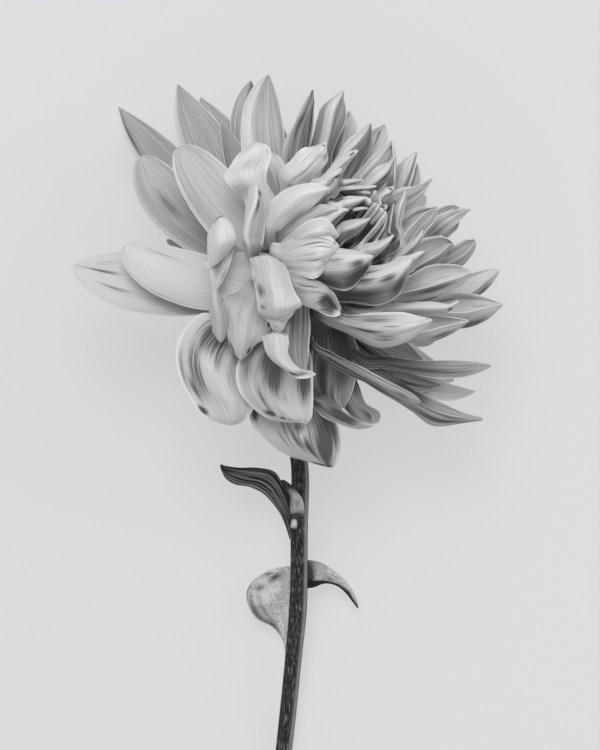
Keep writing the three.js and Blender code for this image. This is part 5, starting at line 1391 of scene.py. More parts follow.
def mixed(tree, share, first, second, blend="MIX"):
    """A colour mix; share is a number or a socket, and the colours are sockets or values."""
    node = tree.nodes.new("ShaderNodeMix")
    node.data_type = "RGBA"
    node.blend_type = blend
    factor, a, b = node.inputs[0], node.inputs[6], node.inputs[7]
    for socket, value in ((factor, share), (a, first), (b, second)):
        if isinstance(value, bpy.types.NodeSocket):
            tree.links.new(value, socket)
        elif isinstance(value, (int, float)):
            socket.default_value = value
        else:
            socket.default_value = tuple(value)
    return node.outputs[2]


def ramp(tree, value, low, high):
    """0 below low, 1 above high, and smooth between them."""
    node = tree.nodes.new("ShaderNodeMapRange")
    node.interpolation_type = "SMOOTHSTEP"
    tree.links.new(value, node.inputs["Value"])
    node.inputs["From Min"].default_value = low
    node.inputs["From Max"].default_value = high
    return node.outputs["Result"]


def noise(tree, vector, scale, detail=3.0, roughness=0.5, distortion=0.0):
    """The value of a noise texture."""
    node = tree.nodes.new("ShaderNodeTexNoise")
    node.inputs["Scale"].default_value = scale
    node.inputs["Detail"].default_value = detail
    node.inputs["Roughness"].default_value = roughness
    node.inputs["Distortion"].default_value = distortion
    tree.links.new(vector, node.inputs["Vector"])
    return node.outputs["Fac"]


def combined(tree, x, y, z):
    """A vector from three numbers or sockets."""
    node = tree.nodes.new("ShaderNodeCombineXYZ")
    for socket, value in zip(node.inputs, (x, y, z)):
        if isinstance(value, (int, float)):
            socket.default_value = value
        else:
            tree.links.new(value, socket)
    return node.outputs[0]


def placed_group(tree, group, **inputs):
    """The group in a material's tree, with its inputs linked or set."""
    node = tree.nodes.new("ShaderNodeGroup")
    node.node_tree = group
    for name, value in inputs.items():
        socket = node.inputs[name.replace("_", " ")]
        if isinstance(value, bpy.types.NodeSocket):
            tree.links.new(value, socket)
        else:
            socket.default_value = value
    return node


def streak_group():
    """Long streaks that run along a blade or stem, at three widths, from its UV map."""
    name = "Blade Streaks"
    if name in bpy.data.node_groups:
        return bpy.data.node_groups[name]
    inputs = [
        ("Across", "NodeSocketFloat", 0.0),
        ("Along", "NodeSocketFloat", 0.0),
        ("Seed", "NodeSocketFloat", 0.0),
        ("Density", "NodeSocketFloat", 40.0),
    ]
    widths = (("Fine", 1.0, 2.5), ("Middle", 0.42, 1.6), ("Broad", 0.15, 1.2))
    outputs = [(width, "NodeSocketFloat") for width, _, _ in widths]
    group, given, made = new_group(name, inputs, outputs)
    across, along, seed, density = (given.outputs[k] for k in ("Across", "Along", "Seed", "Density"))
    for width, share, stretch in widths:
        shift = math_node(group, "MULTIPLY_ADD", seed, 41.0, share)
        sideways = math_node(group, "MULTIPLY", across, math_node(group, "MULTIPLY", density, share))
        place = combined(group, sideways, math_node(group, "MULTIPLY", along, stretch), shift)
        value = noise(group, place, 1.0, 2.0, 0.5, 0.1)
        group.links.new(ramp(group, value, 0.32, 0.68), made.inputs[width])
    return group


def mottle_group():
    """Blotches and specks over a leaf or stem, from a position."""
    name = "Leaf Mottle"
    if name in bpy.data.node_groups:
        return bpy.data.node_groups[name]
    inputs = [("Vector", "NodeSocketVector", None), ("Blotch Scale", "NodeSocketFloat", 120.0)]
    outputs = [("Blotches", "NodeSocketFloat"), ("Specks", "NodeSocketFloat")]
    group, given, made = new_group(name, inputs, outputs)
    blotch = group.nodes.new("ShaderNodeTexNoise")
    blotch.inputs["Detail"].default_value = 4.0
    group.links.new(given.outputs["Vector"], blotch.inputs["Vector"])
    group.links.new(given.outputs["Blotch Scale"], blotch.inputs["Scale"])
    speck = noise(group, given.outputs["Vector"], 1800.0, 1.0, 0.4)
    group.links.new(ramp(group, blotch.outputs["Fac"], 0.42, 0.6), made.inputs["Blotches"])
    group.links.new(ramp(group, speck, 0.56, 0.68), made.inputs["Specks"])
    return group


def new_material(name, roughness):
    """A material with its shader, and its output for the caller to link."""
    material = bpy.data.materials.new(name)
    material.use_nodes = True
    tree = material.node_tree
    tree.nodes.clear()
    shader = tree.nodes.new("ShaderNodeBsdfPrincipled")
    shader.inputs["Roughness"].default_value = roughness
    shader.inputs["Specular IOR Level"].default_value = SATIN
    output = tree.nodes.new("ShaderNodeOutputMaterial")
    return material, tree, shader, output


def blade_coordinates(tree):
    """Across and along a blade, both from 0 to 1, from its UV map."""
    uv = tree.nodes.new("ShaderNodeUVMap")
    uv.uv_map = "Blade"
    parts = tree.nodes.new("ShaderNodeSeparateXYZ")
    tree.links.new(uv.outputs["UV"], parts.inputs[0])
    return parts.outputs["X"], parts.outputs["Y"]


def attribute(tree, name):
    """A value that the mesh holds at each vertex."""
    node = tree.nodes.new("ShaderNodeAttribute")
    node.attribute_name = name
    return node.outputs["Fac"]


def bump(tree, shader, height, distance, strength):
    """Fine relief in the shader's normal."""
    node = tree.nodes.new("ShaderNodeBump")
    node.inputs["Distance"].default_value = distance
    node.inputs["Strength"].default_value = strength
    tree.links.new(height, node.inputs["Height"])
    tree.links.new(node.outputs["Normal"], shader.inputs["Normal"])


def with_translucence(tree, shader, output, colour, share):
    """Lets light through a thin blade: the shader is mixed with a translucent one of the same colour."""
    through_shader = tree.nodes.new("ShaderNodeBsdfTranslucent")
    tree.links.new(colour, through_shader.inputs["Color"])
    mix = tree.nodes.new("ShaderNodeMixShader")
    mix.inputs[0].default_value = share
    tree.links.new(shader.outputs[0], mix.inputs[1])
    tree.links.new(through_shader.outputs[0], mix.inputs[2])
    tree.links.new(mix.outputs[0], output.inputs["Surface"])


def petal_material(colours):
    """Pale petal: fine lengthwise striations, pale margins with a painted rim highlight, and streaked dark
    places where its list puts them, which are its own streaks and painted shade and shadow.
    """
    if "Ray petal" in bpy.data.materials:
        return bpy.data.materials["Ray petal"]
    material, tree, shader, output = new_material("Ray petal", 0.6)
    across, along = blade_coordinates(tree)
    streaks = placed_group(
        tree, streak_group(), Across=across, Along=along, Seed=attribute(tree, "seed"), Density=64.0
    )
    fine, middle, broad = (streaks.outputs[k] for k in ("Fine", "Middle", "Broad"))
    reverse = attribute(tree, "reverse")
    face = mixed(tree, reverse, colours.petal_inner, colours.petal_outer)
    lines = math_node(tree, "MULTIPLY_ADD", fine, 0.6, math_node(tree, "MULTIPLY", middle, 0.4))
    veined = math_node(tree, "MULTIPLY", lines, math_node(tree, "MULTIPLY_ADD", reverse, 0.5, 0.2))
    lined = mixed(tree, veined, face, colours.petal_vein)
    # Dark places, the petal's own streaks and painted shade alike, break up into streaks where they are weak.
    grain = math_node(tree, "MULTIPLY_ADD", broad, 0.15, math_node(tree, "MULTIPLY", lines, 0.85))
    marks = attribute(tree, "marks")
    broken = math_node(tree, "SUBTRACT", math_node(tree, "MULTIPLY", marks, 1.55), grain)
    darkness = math_node(tree, "MULTIPLY", ramp(tree, broken, -0.15, 0.95), 0.9)
    marked_and_shaded = mixed(tree, darkness, lined, colours.petal_mark_and_shade)
    # The tone paints the petal's shade, streaked by its lines.
    uneven = math_node(tree, "MULTIPLY_ADD", lines, 0.9, 0.55)
    tone = math_node(tree, "MULTIPLY", attribute(tree, "tone"), uneven, clamp=True)
    toned = mixed(tree, tone, marked_and_shaded, colours.petal_mark_and_shade)
    # Pale margins along both edges: the petal's thin edges, with a painted rim highlight.
    edge = math_node(tree, "ABSOLUTE", math_node(tree, "SUBTRACT", across, 0.5))
    rim_highlight = math_node(tree, "MULTIPLY", ramp(tree, edge, 0.455, 0.495), 0.7)
    colour = mixed(tree, rim_highlight, toned, colours.petal_margin_highlight)
    tree.links.new(colour, shader.inputs["Base Color"])
    bump(tree, shader, lines, 0.0002, 0.5)
    with_translucence(tree, shader, output, colour, PETAL_TRANSLUCENCE)
    return material


def plain_blade_material(name, colour, streak_colour, roughness, share, density):
    """A darker blade with fine lighter veins along it, and with broad ones where marks says."""
    if name in bpy.data.materials:
        return bpy.data.materials[name]
    material, tree, shader, output = new_material(name, roughness)
    shader.inputs["Specular IOR Level"].default_value = DULL
    across, along = blade_coordinates(tree)
    streaks = placed_group(
        tree, streak_group(), Across=across, Along=along, Seed=attribute(tree, "seed"), Density=density
    )
    veins = ramp(tree, streaks.outputs["Fine"], 0.55, 0.95)
    base = mixed(tree, math_node(tree, "MULTIPLY", veins, share), colour, streak_colour)
    veined = mixed(tree, attribute(tree, "marks"), base, streak_colour)
    tree.links.new(veined, shader.inputs["Base Color"])
    bump(tree, shader, streaks.outputs["Fine"], 0.0002, 0.6)
    tree.links.new(shader.outputs[0], output.inputs["Surface"])
    return material


def core_material(colours):
    """The receptacle deep between the petals."""
    material, tree, shader, output = new_material("Receptacle", 0.8)
    geometry = tree.nodes.new("ShaderNodeNewGeometry")
    patches = noise(tree, geometry.outputs["Position"], 300.0)
    tree.links.new(mixed(tree, patches, colours.receptacle, colours.petal_mark_and_shade), shader.inputs["Base Color"])
    tree.links.new(shader.outputs[0], output.inputs["Surface"])
    return material


def stem_material(colours):
    """Dark ribbed skin with short light flecks along it, and a painted highlight strip along its right side.
    """
    material, tree, shader, output = new_material("Stem skin", 0.6)
    shader.inputs["Specular IOR Level"].default_value = DULL
    around, along = blade_coordinates(tree)
    streaks = placed_group(tree, streak_group(), Across=around, Along=along, Density=60.0)
    geometry = tree.nodes.new("ShaderNodeNewGeometry")
    stretched = combined(
        tree, math_node(tree, "MULTIPLY", around, 46.0), math_node(tree, "MULTIPLY", along, 60.0), 0.0
    )
    flecks = ramp(tree, noise(tree, stretched, 1.0, 2.0, 0.6), 0.54, 0.68)
    ribs = mixed(tree, streaks.outputs["Fine"], colours.stem, colours.stem_rib)
    flecked = mixed(tree, math_node(tree, "MULTIPLY", flecks, 0.7), ribs, colours.stem_fleck_and_highlight)
    # The painted highlight strip along the stem's right side.
    highlight_strip = math_node(tree, "MULTIPLY", attribute(tree, "marks"), 0.55)
    tree.links.new(mixed(tree, highlight_strip, flecked, colours.stem_fleck_and_highlight), shader.inputs["Base Color"])
    grain = noise(tree, geometry.outputs["Position"], 2500.0, 1.0)
    height = math_node(tree, "ADD", streaks.outputs["Fine"], math_node(tree, "MULTIPLY", grain, 0.4))
    bump(tree, shader, height, 0.0003, 0.7)
    tree.links.new(shader.outputs[0], output.inputs["Surface"])
    return material


def leaf_back_material(colours):
    """Pale mottled leaf with a darker stippled border."""
    if "Leaf back" in bpy.data.materials:
        return bpy.data.materials["Leaf back"]
    material, tree, shader, output = new_material("Leaf back", 0.65)
    geometry = tree.nodes.new("ShaderNodeNewGeometry")
    mottle = placed_group(tree, mottle_group(), Vector=geometry.outputs["Position"], Blotch_Scale=160.0)
    blotches = math_node(tree, "MULTIPLY", mottle.outputs["Blotches"], 0.3)
    mottled = mixed(tree, blotches, colours.leaf_back, colours.leaf_back_dark)
    marks = math_node(tree, "MULTIPLY", attribute(tree, "marks"), 0.85)
    bordered = mixed(tree, marks, mottled, colours.leaf_back_dark)
    specks = math_node(tree, "MULTIPLY", mottle.outputs["Specks"], 0.45)
    speckled = mixed(tree, specks, bordered, colours.leaf)
    tree.links.new(mixed(tree, attribute(tree, "tone"), speckled, colours.leaf), shader.inputs["Base Color"])
    bump(tree, shader, mottle.outputs["Specks"], 0.0001, 0.5)
    tree.links.new(shader.outputs[0], output.inputs["Surface"])
    return material


def floor_material(colour):
    """Plain matt surface with the faintest grain, which glows a little so that shadows stay faint."""
    material, tree, shader, output = new_material("Pale surface", 0.9)
    shader.inputs["Specular IOR Level"].default_value = MATT
    geometry = tree.nodes.new("ShaderNodeNewGeometry")
    grain = noise(tree, geometry.outputs["Position"], 900.0, 2.0)
    toned = mixed(tree, math_node(tree, "MULTIPLY", grain, 0.03), colour, (0.5, 0.5, 0.5, 1))
    tree.links.new(toned, shader.inputs["Base Color"])
    shader.inputs["Emission Color"].default_value = (1, 1, 1, 1)
    shader.inputs["Emission Strength"].default_value = SURFACE_GLOW
    tree.links.new(shader.outputs[0], output.inputs["Surface"])
    return material


# ---- Sizes and colours ----
def size_property(name, description, default, low, high):
    """A length, in metres."""
    kind = dict(unit="LENGTH", subtype="DISTANCE")
    return FloatProperty(name=name, description=description, default=default, min=low, max=high, **kind)


def share_property(name, description, default, high):
    """A plain number from 0 up."""
    return FloatProperty(name=name, description=description, default=default, min=0.0, max=high)


def count_property(name, description, default, low, high):
    """A whole number of steps or pieces."""
    return IntProperty(name=name, description=description, default=default, min=low, max=high)


def power_property(name, description, default):
    """The power of a light, in watts."""
    kind = dict(min=0.0, max=500.0, unit="POWER")
    return FloatProperty(name=name, description=description, default=default, **kind)


def grey_property(name, description, value):
    """A neutral colour: the photograph is black and white."""
    grey = (value, value, value, 1.0)
    kind = dict(subtype="COLOR", size=4, min=0.0, max=1.0)
    return FloatVectorProperty(name=name, description=description, default=grey, **kind)


class DahliaSizes(PropertyGroup):
    """Sizes and numbers of the pieces, and the camera's distances"""

    petal_thickness: size_property("Petal Thickness", "Thickness of a petal", 0.0006, 0.0002, 0.001)
    leaf_thickness: size_property("Leaf Thickness", "Thickness of a leaf or bract", 0.0008, 0.0003, 0.0012)
    petal_rows: count_property("Petal Rows", "Steps along a petal", 40, 12, 80)
    petal_columns: count_property("Petal Columns", "Steps across a petal", 19, 7, 41)
    pleat: share_property("Pleats", "Share of each petal's own pleat height", 1.0, 3.0)
    edge_wave: share_property("Edge Wave", "Share of each petal's own edge wave", 1.0, 3.0)
    wander: share_property("Wander", "Most that a petal turns about itself, in degrees", 6.0, 30.0)
    young_florets: count_property("Young Florets", "Florets that still curl over the eye", 44, 8, 120)
    bracts: count_property("Bracts", "Bracts in each ring of the calyx", 8, 4, 16)
    stem_sides: count_property("Stem Sides", "Steps round the stem", 48, 12, 96)
    camera_height: size_property("Camera Height", "Height of the camera above the bloom", 3.0, 0.5, 10.0)
    view_height: size_property("View Height", "Height of the picture at the bloom", 0.25, 0.05, 1.0)


class DahliaColours(PropertyGroup):
    """Greys of the finishes"""

    petal_inner: grey_property("Petal Inner", "Inner side of the petals", 0.88)
    petal_outer: grey_property("Petal Outer", "Outer side of the petals", 0.32)
    petal_vein: grey_property("Petal Vein", "Lengthwise lines in the petals", 0.3)
    # Also the colour of the painted shade and shadow on the petals.
    petal_mark_and_shade: grey_property("Petal Mark", "Dark streaks and the shaded petals", 0.05)
    # The pale edge is partly a painted rim highlight.
    petal_margin_highlight: grey_property("Petal Margin", "Pale edge of the petals", 0.9)
    receptacle: grey_property("Receptacle", "Core that the petals grow from", 0.14)
    floret: grey_property("Young Floret", "Dark young florets in the eye", 0.03)
    floret_tip: grey_property("Floret Streak", "Pale streaks in the young florets", 0.7)
    calyx: grey_property("Calyx", "Calyx and its bracts", 0.07)
    calyx_vein: grey_property("Calyx Vein", "Veins in the bracts", 0.25)
    stem: grey_property("Stem", "Stem skin", 0.008)
    stem_rib: grey_property("Stem Rib", "Ribs along the stem", 0.035)
    # Also the colour of the painted highlight strip along the stem's right side.
    stem_fleck_and_highlight: grey_property("Stem Fleck", "Flecks along the stem", 0.42)
    leaf: grey_property("Leaf", "Upper side of the leaves", 0.006)
    leaf_vein: grey_property("Leaf Vein", "Veins of the upper leaf", 0.35)
    leaf_back: grey_property("Leaf Back", "Pale side of the lower leaf", 0.62)
    leaf_back_dark: grey_property("Leaf Back Dark", "Border and blotches of the lower leaf", 0.045)
    floor: grey_property("Surface", "Surface that the flower lies on", 0.18)


class DahliaLights(PropertyGroup):
    """Strengths of the studio light"""

    key: power_property("Key Light", "Power of the key light", 50.0)
    fill: power_property("Fill Light", "Power of the fill light", 5.0)
    side: power_property("Side Light", "Power of the light from the right", 20.0)
    surroundings: share_property("Surroundings", "Strength of the even light", 0.45, 5.0)


# ---- Pieces ----
def sizes_of(context):
    """The scene's sizes."""
    return context.scene.dahlia_sizes


def colours_of(context):
    """The scene's colours."""
    return context.scene.dahlia_colours


def finished(piece, slot, *nodes):
    """Puts the piece in place of the frame's nodes. The slot is not used."""
    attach(piece, "root")
    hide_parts(*nodes)
    return piece


def make_petals(context, name, rows, look, seed):
    """One object of a list's petals, which share a look."""
    sizes = sizes_of(context)
    blades = [petal_blade({**look, **row}, seed + i, sizes) for i, row in enumerate(rows)]
    thickness = sizes.petal_thickness / MM
    piece = blades_object(name, blades, thickness, petal_material(colours_of(context)))
    finished(piece, "petal", "bloom")
    return {"FINISHED"}


def route_blade(route, half_widths, look, cup, rows, columns, seed, relief=None):
    """A blade along a route, whose half widths are spaced evenly along it."""
    s = np.linspace(0, 1, rows)
    places, tangents = through(route, s)
    normals = carried(tangents, np.array(look, float))
    side = np.cross(tangents, normals)
    stops = np.linspace(0, 1, len(half_widths))
    half = np.interp(s, stops, half_widths)
    across, sideways, upwards = section(half, cup, columns)
    if relief is not None:
        upwards = upwards + relief(across[None, :], s[:, None])
    points = places[:, None] + side[:, None] * sideways[..., None] + normals[:, None] * upwards[..., None]
    across, along = np.meshgrid(across, s)
    none = np.zeros_like(across)
    return dict(points=points, across=across, along=along, marks=none, tone=none, seed=seed, back=1.0)


def around_axis(turn):
    """A direction across the bloom's axis, turned about it."""
    first = unit(np.cross((0, 0, 1), AXIS))
    return first * math.cos(turn) + np.cross(AXIS, first) * math.sin(turn)


def young_floret(i, count):
    """A curled floret of the eye, on the golden-angle spiral."""
    share = (i + 0.5) / count
    spread = EYE_RADIUS * (0.12 + 0.83 * math.sqrt(share))
    outwards = around_axis(i * SPIRAL_TURN)
    lean = 0.9 + 0.12 * math.sin(5.0 * i)
    top = EYE_TOP + 1.5 - 5.0 * share
    stops = ((0.9, 31), (1.0, 38), (0.95, top - 3), (lean * 0.7, top))
    route = [AXIS * rise + outwards * spread * reach for reach, rise in stops]
    widths = [0.9, 1.0 + 0.4 * share, 0.9 + 0.3 * share, 0.25]
    return route_blade(route, widths, -outwards, 2.4, rows=14, columns=9, seed=share)


def make_eye(context):
    """The young florets and the dark bud under them."""
    count = sizes_of(context).young_florets
    colours = colours_of(context)
    material = plain_blade_material("Young floret", colours.floret, colours.floret_tip, 0.5, 0.45, 12.0)
    blades = [young_floret(i, count) for i in range(count)]
    piece = blades_object("young_florets", blades, 0.5, material)
    finished(piece, "young_floret", "eye_florets")
    profile = [
        (0, EYE_BASE), (EYE_RADIUS - 1, EYE_BASE), (EYE_RADIUS - 0.6, 32), (EYE_RADIUS - 1.6, 36), (0, 38),
    ]
    bud = turned_object("eye_bud", profile, 28, core_material(colours))
    finished(bud, "young_floret", "eye_florets")


def bract_blade(i, count, ring):
    """A bract of the calyx: ring 0 stands out and back, ring 1 lies closer against the bloom."""
    side = around_axis((i + 0.5 * ring) * 2 * np.pi / count)
    if ring == 0:
        stops = ((8, -9.8), (12.5, -11), (16.5, -13), (25, -18))
        widths = [1.8, 3.2, 3.5, 3.2, 2.2, 0.3]
    else:
        stops = ((7, -9.2), (12, -9.4), (17, -8.2), (21.5, -6.8))
        widths = [2.2, 3.4, 3.6, 2.8, 1.6, 0.3]
    route = [AXIS * rise + side * out for out, rise in stops]

    def relief(across, s):
        """Ribs along the bract, and a groove in its middle."""
        return 0.12 * np.cos(9 * across) * np.sin(np.pi * s) - 0.25 * np.exp(-((across / 0.12) ** 2))

    seed = i * 0.13 + ring * 0.5
    return route_blade(route, widths, AXIS, 0.8, rows=24, columns=13, seed=seed, relief=relief)


def make_calyx(context):
    """The cup behind the head, with two rings of bracts."""
    colours = colours_of(context)
    material = plain_blade_material("Calyx skin", colours.calyx, colours.calyx_vein, 0.5, 0.6, 22.0)
    profile = [
        (0, -13.5), (2.5, -13.5), (5, -13.2), (7.4, -12.2), (9.5, -10.6), (11.4, -8.6), (13, -6.4),
        (12.7, -5.6), (12.2, -5.4), (9.8, -7.4), (7.3, -9.1), (3, -9.5), (0, -9.6),
    ]
    cup = turned_object("calyx_cup", profile, 64, material)
    finished(cup, "calyx", "calyx")
    count = sizes_of(context).bracts
    blades = [bract_blade(i, count, ring) for ring in (0, 1) for i in range(count)]
    piece = blades_object("calyx_bracts", blades, sizes_of(context).leaf_thickness / MM, material)
    finished(piece, "calyx", "calyx")


STEM_ROUTE = [
    (-6.9, -8.6, -8.4), (-8.4, -16, -14.5), (-5.5, -30, -19), (0.6, -54, -23), (0.7, -76, -27),
    (0.5, -101, -32), (-1.1, -120, -36), (-4.3, -151, -40.6), (-8.5, -184, -43.5),
]
STEM_RADII = [3.6, 3.2, 3, 3, 3, 3, 2.95, 2.75, 2.8]
STEM_STEPS = 220
STEM_RIBS = 9
STEM_RIB_HEIGHT = 0.09
STEM_RIB_SWING = 1.4
STEM_UNEVEN = 0.07
STEM_CLEARANCE = 0.02  # between its lowest side and the surface
HIGHLIGHT_STRIP_AT = 0.5  # the angle of the painted highlight strip along the stem's right side, from +X
HIGHLIGHT_STRIP_WIDTH = 0.42


def make_stem(context):
    """A ribbed stem on the frame's route, closed at both cut ends."""
    sides = sizes_of(context).stem_sides
    s = np.linspace(0, 1, STEM_STEPS)
    places, tangents = through(STEM_ROUTE, s)
    radii = np.interp(s, np.linspace(0, 1, len(STEM_RADII)), STEM_RADII)
    side = np.cross(tangents, (0, 0, 1))
    side /= np.linalg.norm(side, axis=1)[:, None]
    up = np.cross(side, tangents)
    angles = np.linspace(0, 2 * np.pi, sides, endpoint=False)
    ribs = STEM_RIB_HEIGHT * np.cos(STEM_RIBS * angles[None, :] + STEM_RIB_SWING * np.sin(3 * s)[:, None])
    bumps = STEM_UNEVEN * np.sin(31 * s)[:, None] * np.cos(2 * angles)[None, :]
    radius = radii[:, None] - STEM_RIB_HEIGHT + ribs + bumps
    rings = places[:, None] - side[:, None] * (radius * np.cos(angles))[..., None]
    rings = rings + up[:, None] * (radius * np.sin(angles))[..., None]
    rings[..., 2] = np.maximum(rings[..., 2], -HEAD[2] + STEM_CLEARANCE)
    verts = np.vstack([rings.reshape(-1, 3), places[0], places[-1]])
    faces = []
    for i in range(STEM_STEPS - 1):
        for k in range(sides):
            following = (k + 1) % sides
            a, b = i * sides + k, i * sides + following
            faces.append((a, b, b + sides, a + sides))
    first, last = STEM_STEPS * sides, STEM_STEPS * sides + 1
    end = (STEM_STEPS - 1) * sides
    for k in range(sides):
        following = (k + 1) % sides
        faces.append((first, following, k))
        faces.append((last, end + k, end + following))
    turns = np.abs(np.linspace(-1, 1, sides, endpoint=False))
    uv = np.stack(np.meshgrid(turns, s), -1).reshape(-1, 2)
    uvs = np.vstack([uv, [[0, 0], [0, 1]]])
    values = {key: [np.zeros(len(verts))] for key in ("tone", "seed", "reverse")}
    # A painted highlight strip along the stem's right side, where the light catches it.
    highlight_strip = np.exp(-((((angles + np.pi) % (2 * np.pi) - np.pi - HIGHLIGHT_STRIP_AT) / HIGHLIGHT_STRIP_WIDTH) ** 4))
    values["marks"] = [np.hstack([np.tile(highlight_strip, STEM_STEPS), [0, 0]])]
    piece = mesh_object("stem_tube", verts, faces, uvs, values, stem_material(colours_of(context)))
    finished(piece, "stem", "stem")


# The leaves are drawn like the petals. On the dark upper leaf the marks are its light veins, and the sheath
# is its pale foot, with the bud in it. The lower leaf is a lobe and a hanging tip, and wraps round behind the
# stem.
LEAF_LOOK = dict(rooted=False, back=0.0, shade=0.0, wave=0.1, pleat=0.05, ridges=4.0)
UPPER_LEAF = [
    drawn(
        [(-2.3, -81, -26), (-1.7, -81, -24.5), (-1, -81.3, -25.5)],
        [(-4.2, -75.7, -25), (-3, -75.3, -23), (-1.3, -74.7, -24)],
        [(-6.7, -71, -23), (-5, -69.7, -21), (-2.7, -68, -22)],
        [(-10.7, -66.3, -22), (-8, -64.3, -20), (-5.3, -61.7, -21)],
        [(-15.7, -63.7, -22), (-12, -61.3, -19.5), (-8, -58.3, -21)],
        [(-20.7, -62.7, -22.5), (-17.3, -60.3, -20), (-13.7, -57.2, -21)],
        [(-24, -60.7, -23), (-22.3, -59, -21.5), (-19.3, -57.2, -22)],
        [(-25.3, -58.2, -23.5), (-24.7, -57.7, -23), (-23.7, -56.6, -23)],
        [(-25.7, -56.3, -24), (-25.6, -56.2, -24), (-25.5, -56, -24)],
        pleat=0.12, ridges=5,
        marks=(
            (-0.7, 0.5, 0.05, 0.4, 1), (-0.4, 0.5, 0.04, 0.5, 0.9), (-0.1, 0.5, 0.06, 0.6, 1),
            (0.22, 0.5, 0.04, 0.45, 0.9), (0.5, 0.45, 0.04, 0.35, 0.8), (0.75, 0.6, 0.1, 0.12, 0.25),
            (-0.97, 0.5, 0.04, 0.5, 0.6),
        ),
    ),
]
LEAF_SHEATH = [
    drawn(
        [(-2.7, -74.7, -23.5), (-0.3, -74, -22), (2.2, -73.3, -23.5)],
        [(-3.2, -70.7, -22.5), (-0.3, -70.3, -20.5), (2.3, -70, -22.5)],
        [(-3.7, -67, -22), (-1, -66.7, -20), (1.3, -67, -22)],
        [(-5, -64, -21.5), (-3, -63.3, -20), (-1, -64, -21.5)],
        [(-6, -61.5, -21.5), (-5, -61.3, -20.5), (-3.7, -61.7, -21.5)],
        tone=(0, 0.3), folds=((-0.62, 0.9, 0, 0),),
        marks=(
            (0, 0.95, 1.5, 0.28, 2.6), (-0.8, 0.6, 0.5, 0.3, 2), (-0.2, 0, 1.2, 0.14, 2.2),
            (0.1, 0.35, 0.3, 0.12, 0.6), (0.9, 0.6, 0.08, 0.3, -0.9),
        ),
    ),
    drawn(
        [(-2.2, -77.7, -24), (-1.2, -77.8, -22.5), (0, -77.7, -24)],
        [(-2.2, -76, -23.5), (-1, -76, -21), (0.2, -76, -23.5)],
        [(-1.5, -74.2, -23), (-1, -74, -22.5), (-0.5, -74.2, -23)],
        tone=(0.2, 0),
        marks=(
            (0.9, 0.3, 0.35, 0.4, 2), (-1, 0.3, 0.3, 0.5, 2), (0, 0, 1.2, 0.2, 2), (0, 1, 1.2, 0.15, 1.5),
        ),
    ),
]
LOWER_LEAF = [
    drawn(
        [(-3.8, -119.7, -38.6), (-3.2, -119.7, -38.2), (-2.3, -119.7, -38.4)],
        [(-4.8, -115.3, -38.8), (-3.7, -114.7, -37.8), (-2, -114.3, -37.2)],
        [(-8.3, -111, -39), (-5.3, -110, -37.6), (-1.7, -109.3, -36.4)],
        [(-13.7, -108, -38.5), (-8, -106, -37.5), (0.4, -104.3, -35.6)],
        [(-16.7, -103, -38), (-9.7, -101.7, -36.8), (0.6, -100.3, -34.9)],
        [(-16.7, -98.3, -38), (-9.7, -97.3, -36.8), (0.8, -96.3, -34.2)],
        [(-13.3, -94.3, -38), (-8, -94, -37), (0.8, -93.3, -33.7)],
        [(-8.7, -91.7, -37), (-5.3, -91.7, -35.5), (0.8, -91.3, -33.4)],
        [(-4.3, -90.6, -35), (-3, -90.5, -34.2), (-1, -90.3, -33.4)],
        pleat=0.12, creases=((-0.35, 0.42, 0.16, 0.35),),
        marks=(
            (-0.82, 0.42, 0.2, 0.18, 1), (-0.72, 0.26, 0.3, 0.12, 1), (-0.98, 0.62, 0.05, 0.16, 0.9),
            (-0.45, 0.8, 0.4, 0.03, 0.9), (0.1, 0.74, 0.25, 0.08, 1.2), (-0.35, 0.62, 0.3, 0.03, 0.9),
            (-0.05, 0.42, 0.035, 0.25, -0.9), (-0.45, 0.45, 0.12, 0.14, 0.5), (0.35, 0.3, 0.12, 0.12, 0.35),
        ),
    ),
    drawn(
        [(0.4, -88.4, -32.8), (0.5, -93, -33.3), (0.6, -98, -34.4)],
        [(5, -88.5, -34.5), (5.3, -93.3, -34.2), (5.3, -97.7, -36)],
        [(8.3, -89.3, -35.8), (8.7, -93.7, -34.8), (8.7, -96.6, -37)],
        [(11.7, -91.3, -37), (11.7, -94.7, -36), (11.7, -96.6, -38)],
        [(14.7, -93.7, -37), (14.3, -95.7, -36.3), (14.3, -97.7, -38)],
        [(17.3, -96.3, -37.3), (17, -98, -36.8), (16.7, -100, -38)],
        [(19.3, -99.7, -38), (18.8, -101, -37.5), (18.7, -102.5, -38.5)],
        [(20.7, -104.3, -39), (20.6, -104.5, -39), (20.5, -104.7, -39)],
        tone=(0.3, 0.1), pleat=0.1, folds=((0.4, 0, 1, 0.3),),
        marks=(
            (0, 0.1, 1.3, 0.07, 1.5), (0.1, 0.4, 0.3, 0.1, 0.8), (-0.3, 0.5, 0.2, 0.08, 0.5),
            (0.5, 0.85, 0.4, 0.25, 1.8), (0, 1, 1, 0.1, 1.8), (-0.2, 0.85, 0.14, 0.2, -0.9),
        ),
    ),
]


def leaf_values(rows, context, first_seed):
    """The blades of a leaf from its listed cross-sections."""
    sizes = sizes_of(context)
    return [petal_blade({**LEAF_LOOK, **row}, first_seed + i, sizes) for i, row in enumerate(rows)]


def make_upper_leaf(context):
    """The narrow dark leaf, with its pale sheath and the bud in it."""
    colours = colours_of(context)
    dark = plain_blade_material("Leaf skin", colours.leaf, colours.leaf_vein, 0.5, 0.3, 11.0)
    pale = leaf_back_material(colours)
    thickness = sizes_of(context).leaf_thickness / MM
    blade = blades_object("upper_leaf_blade", leaf_values(UPPER_LEAF, context, 901), thickness, dark)
    finished(blade, "leaf", "upper_leaf")
    sheath = blades_object("upper_leaf_sheath", leaf_values(LEAF_SHEATH, context, 911), thickness, pale)
    finished(sheath, "leaf_back")


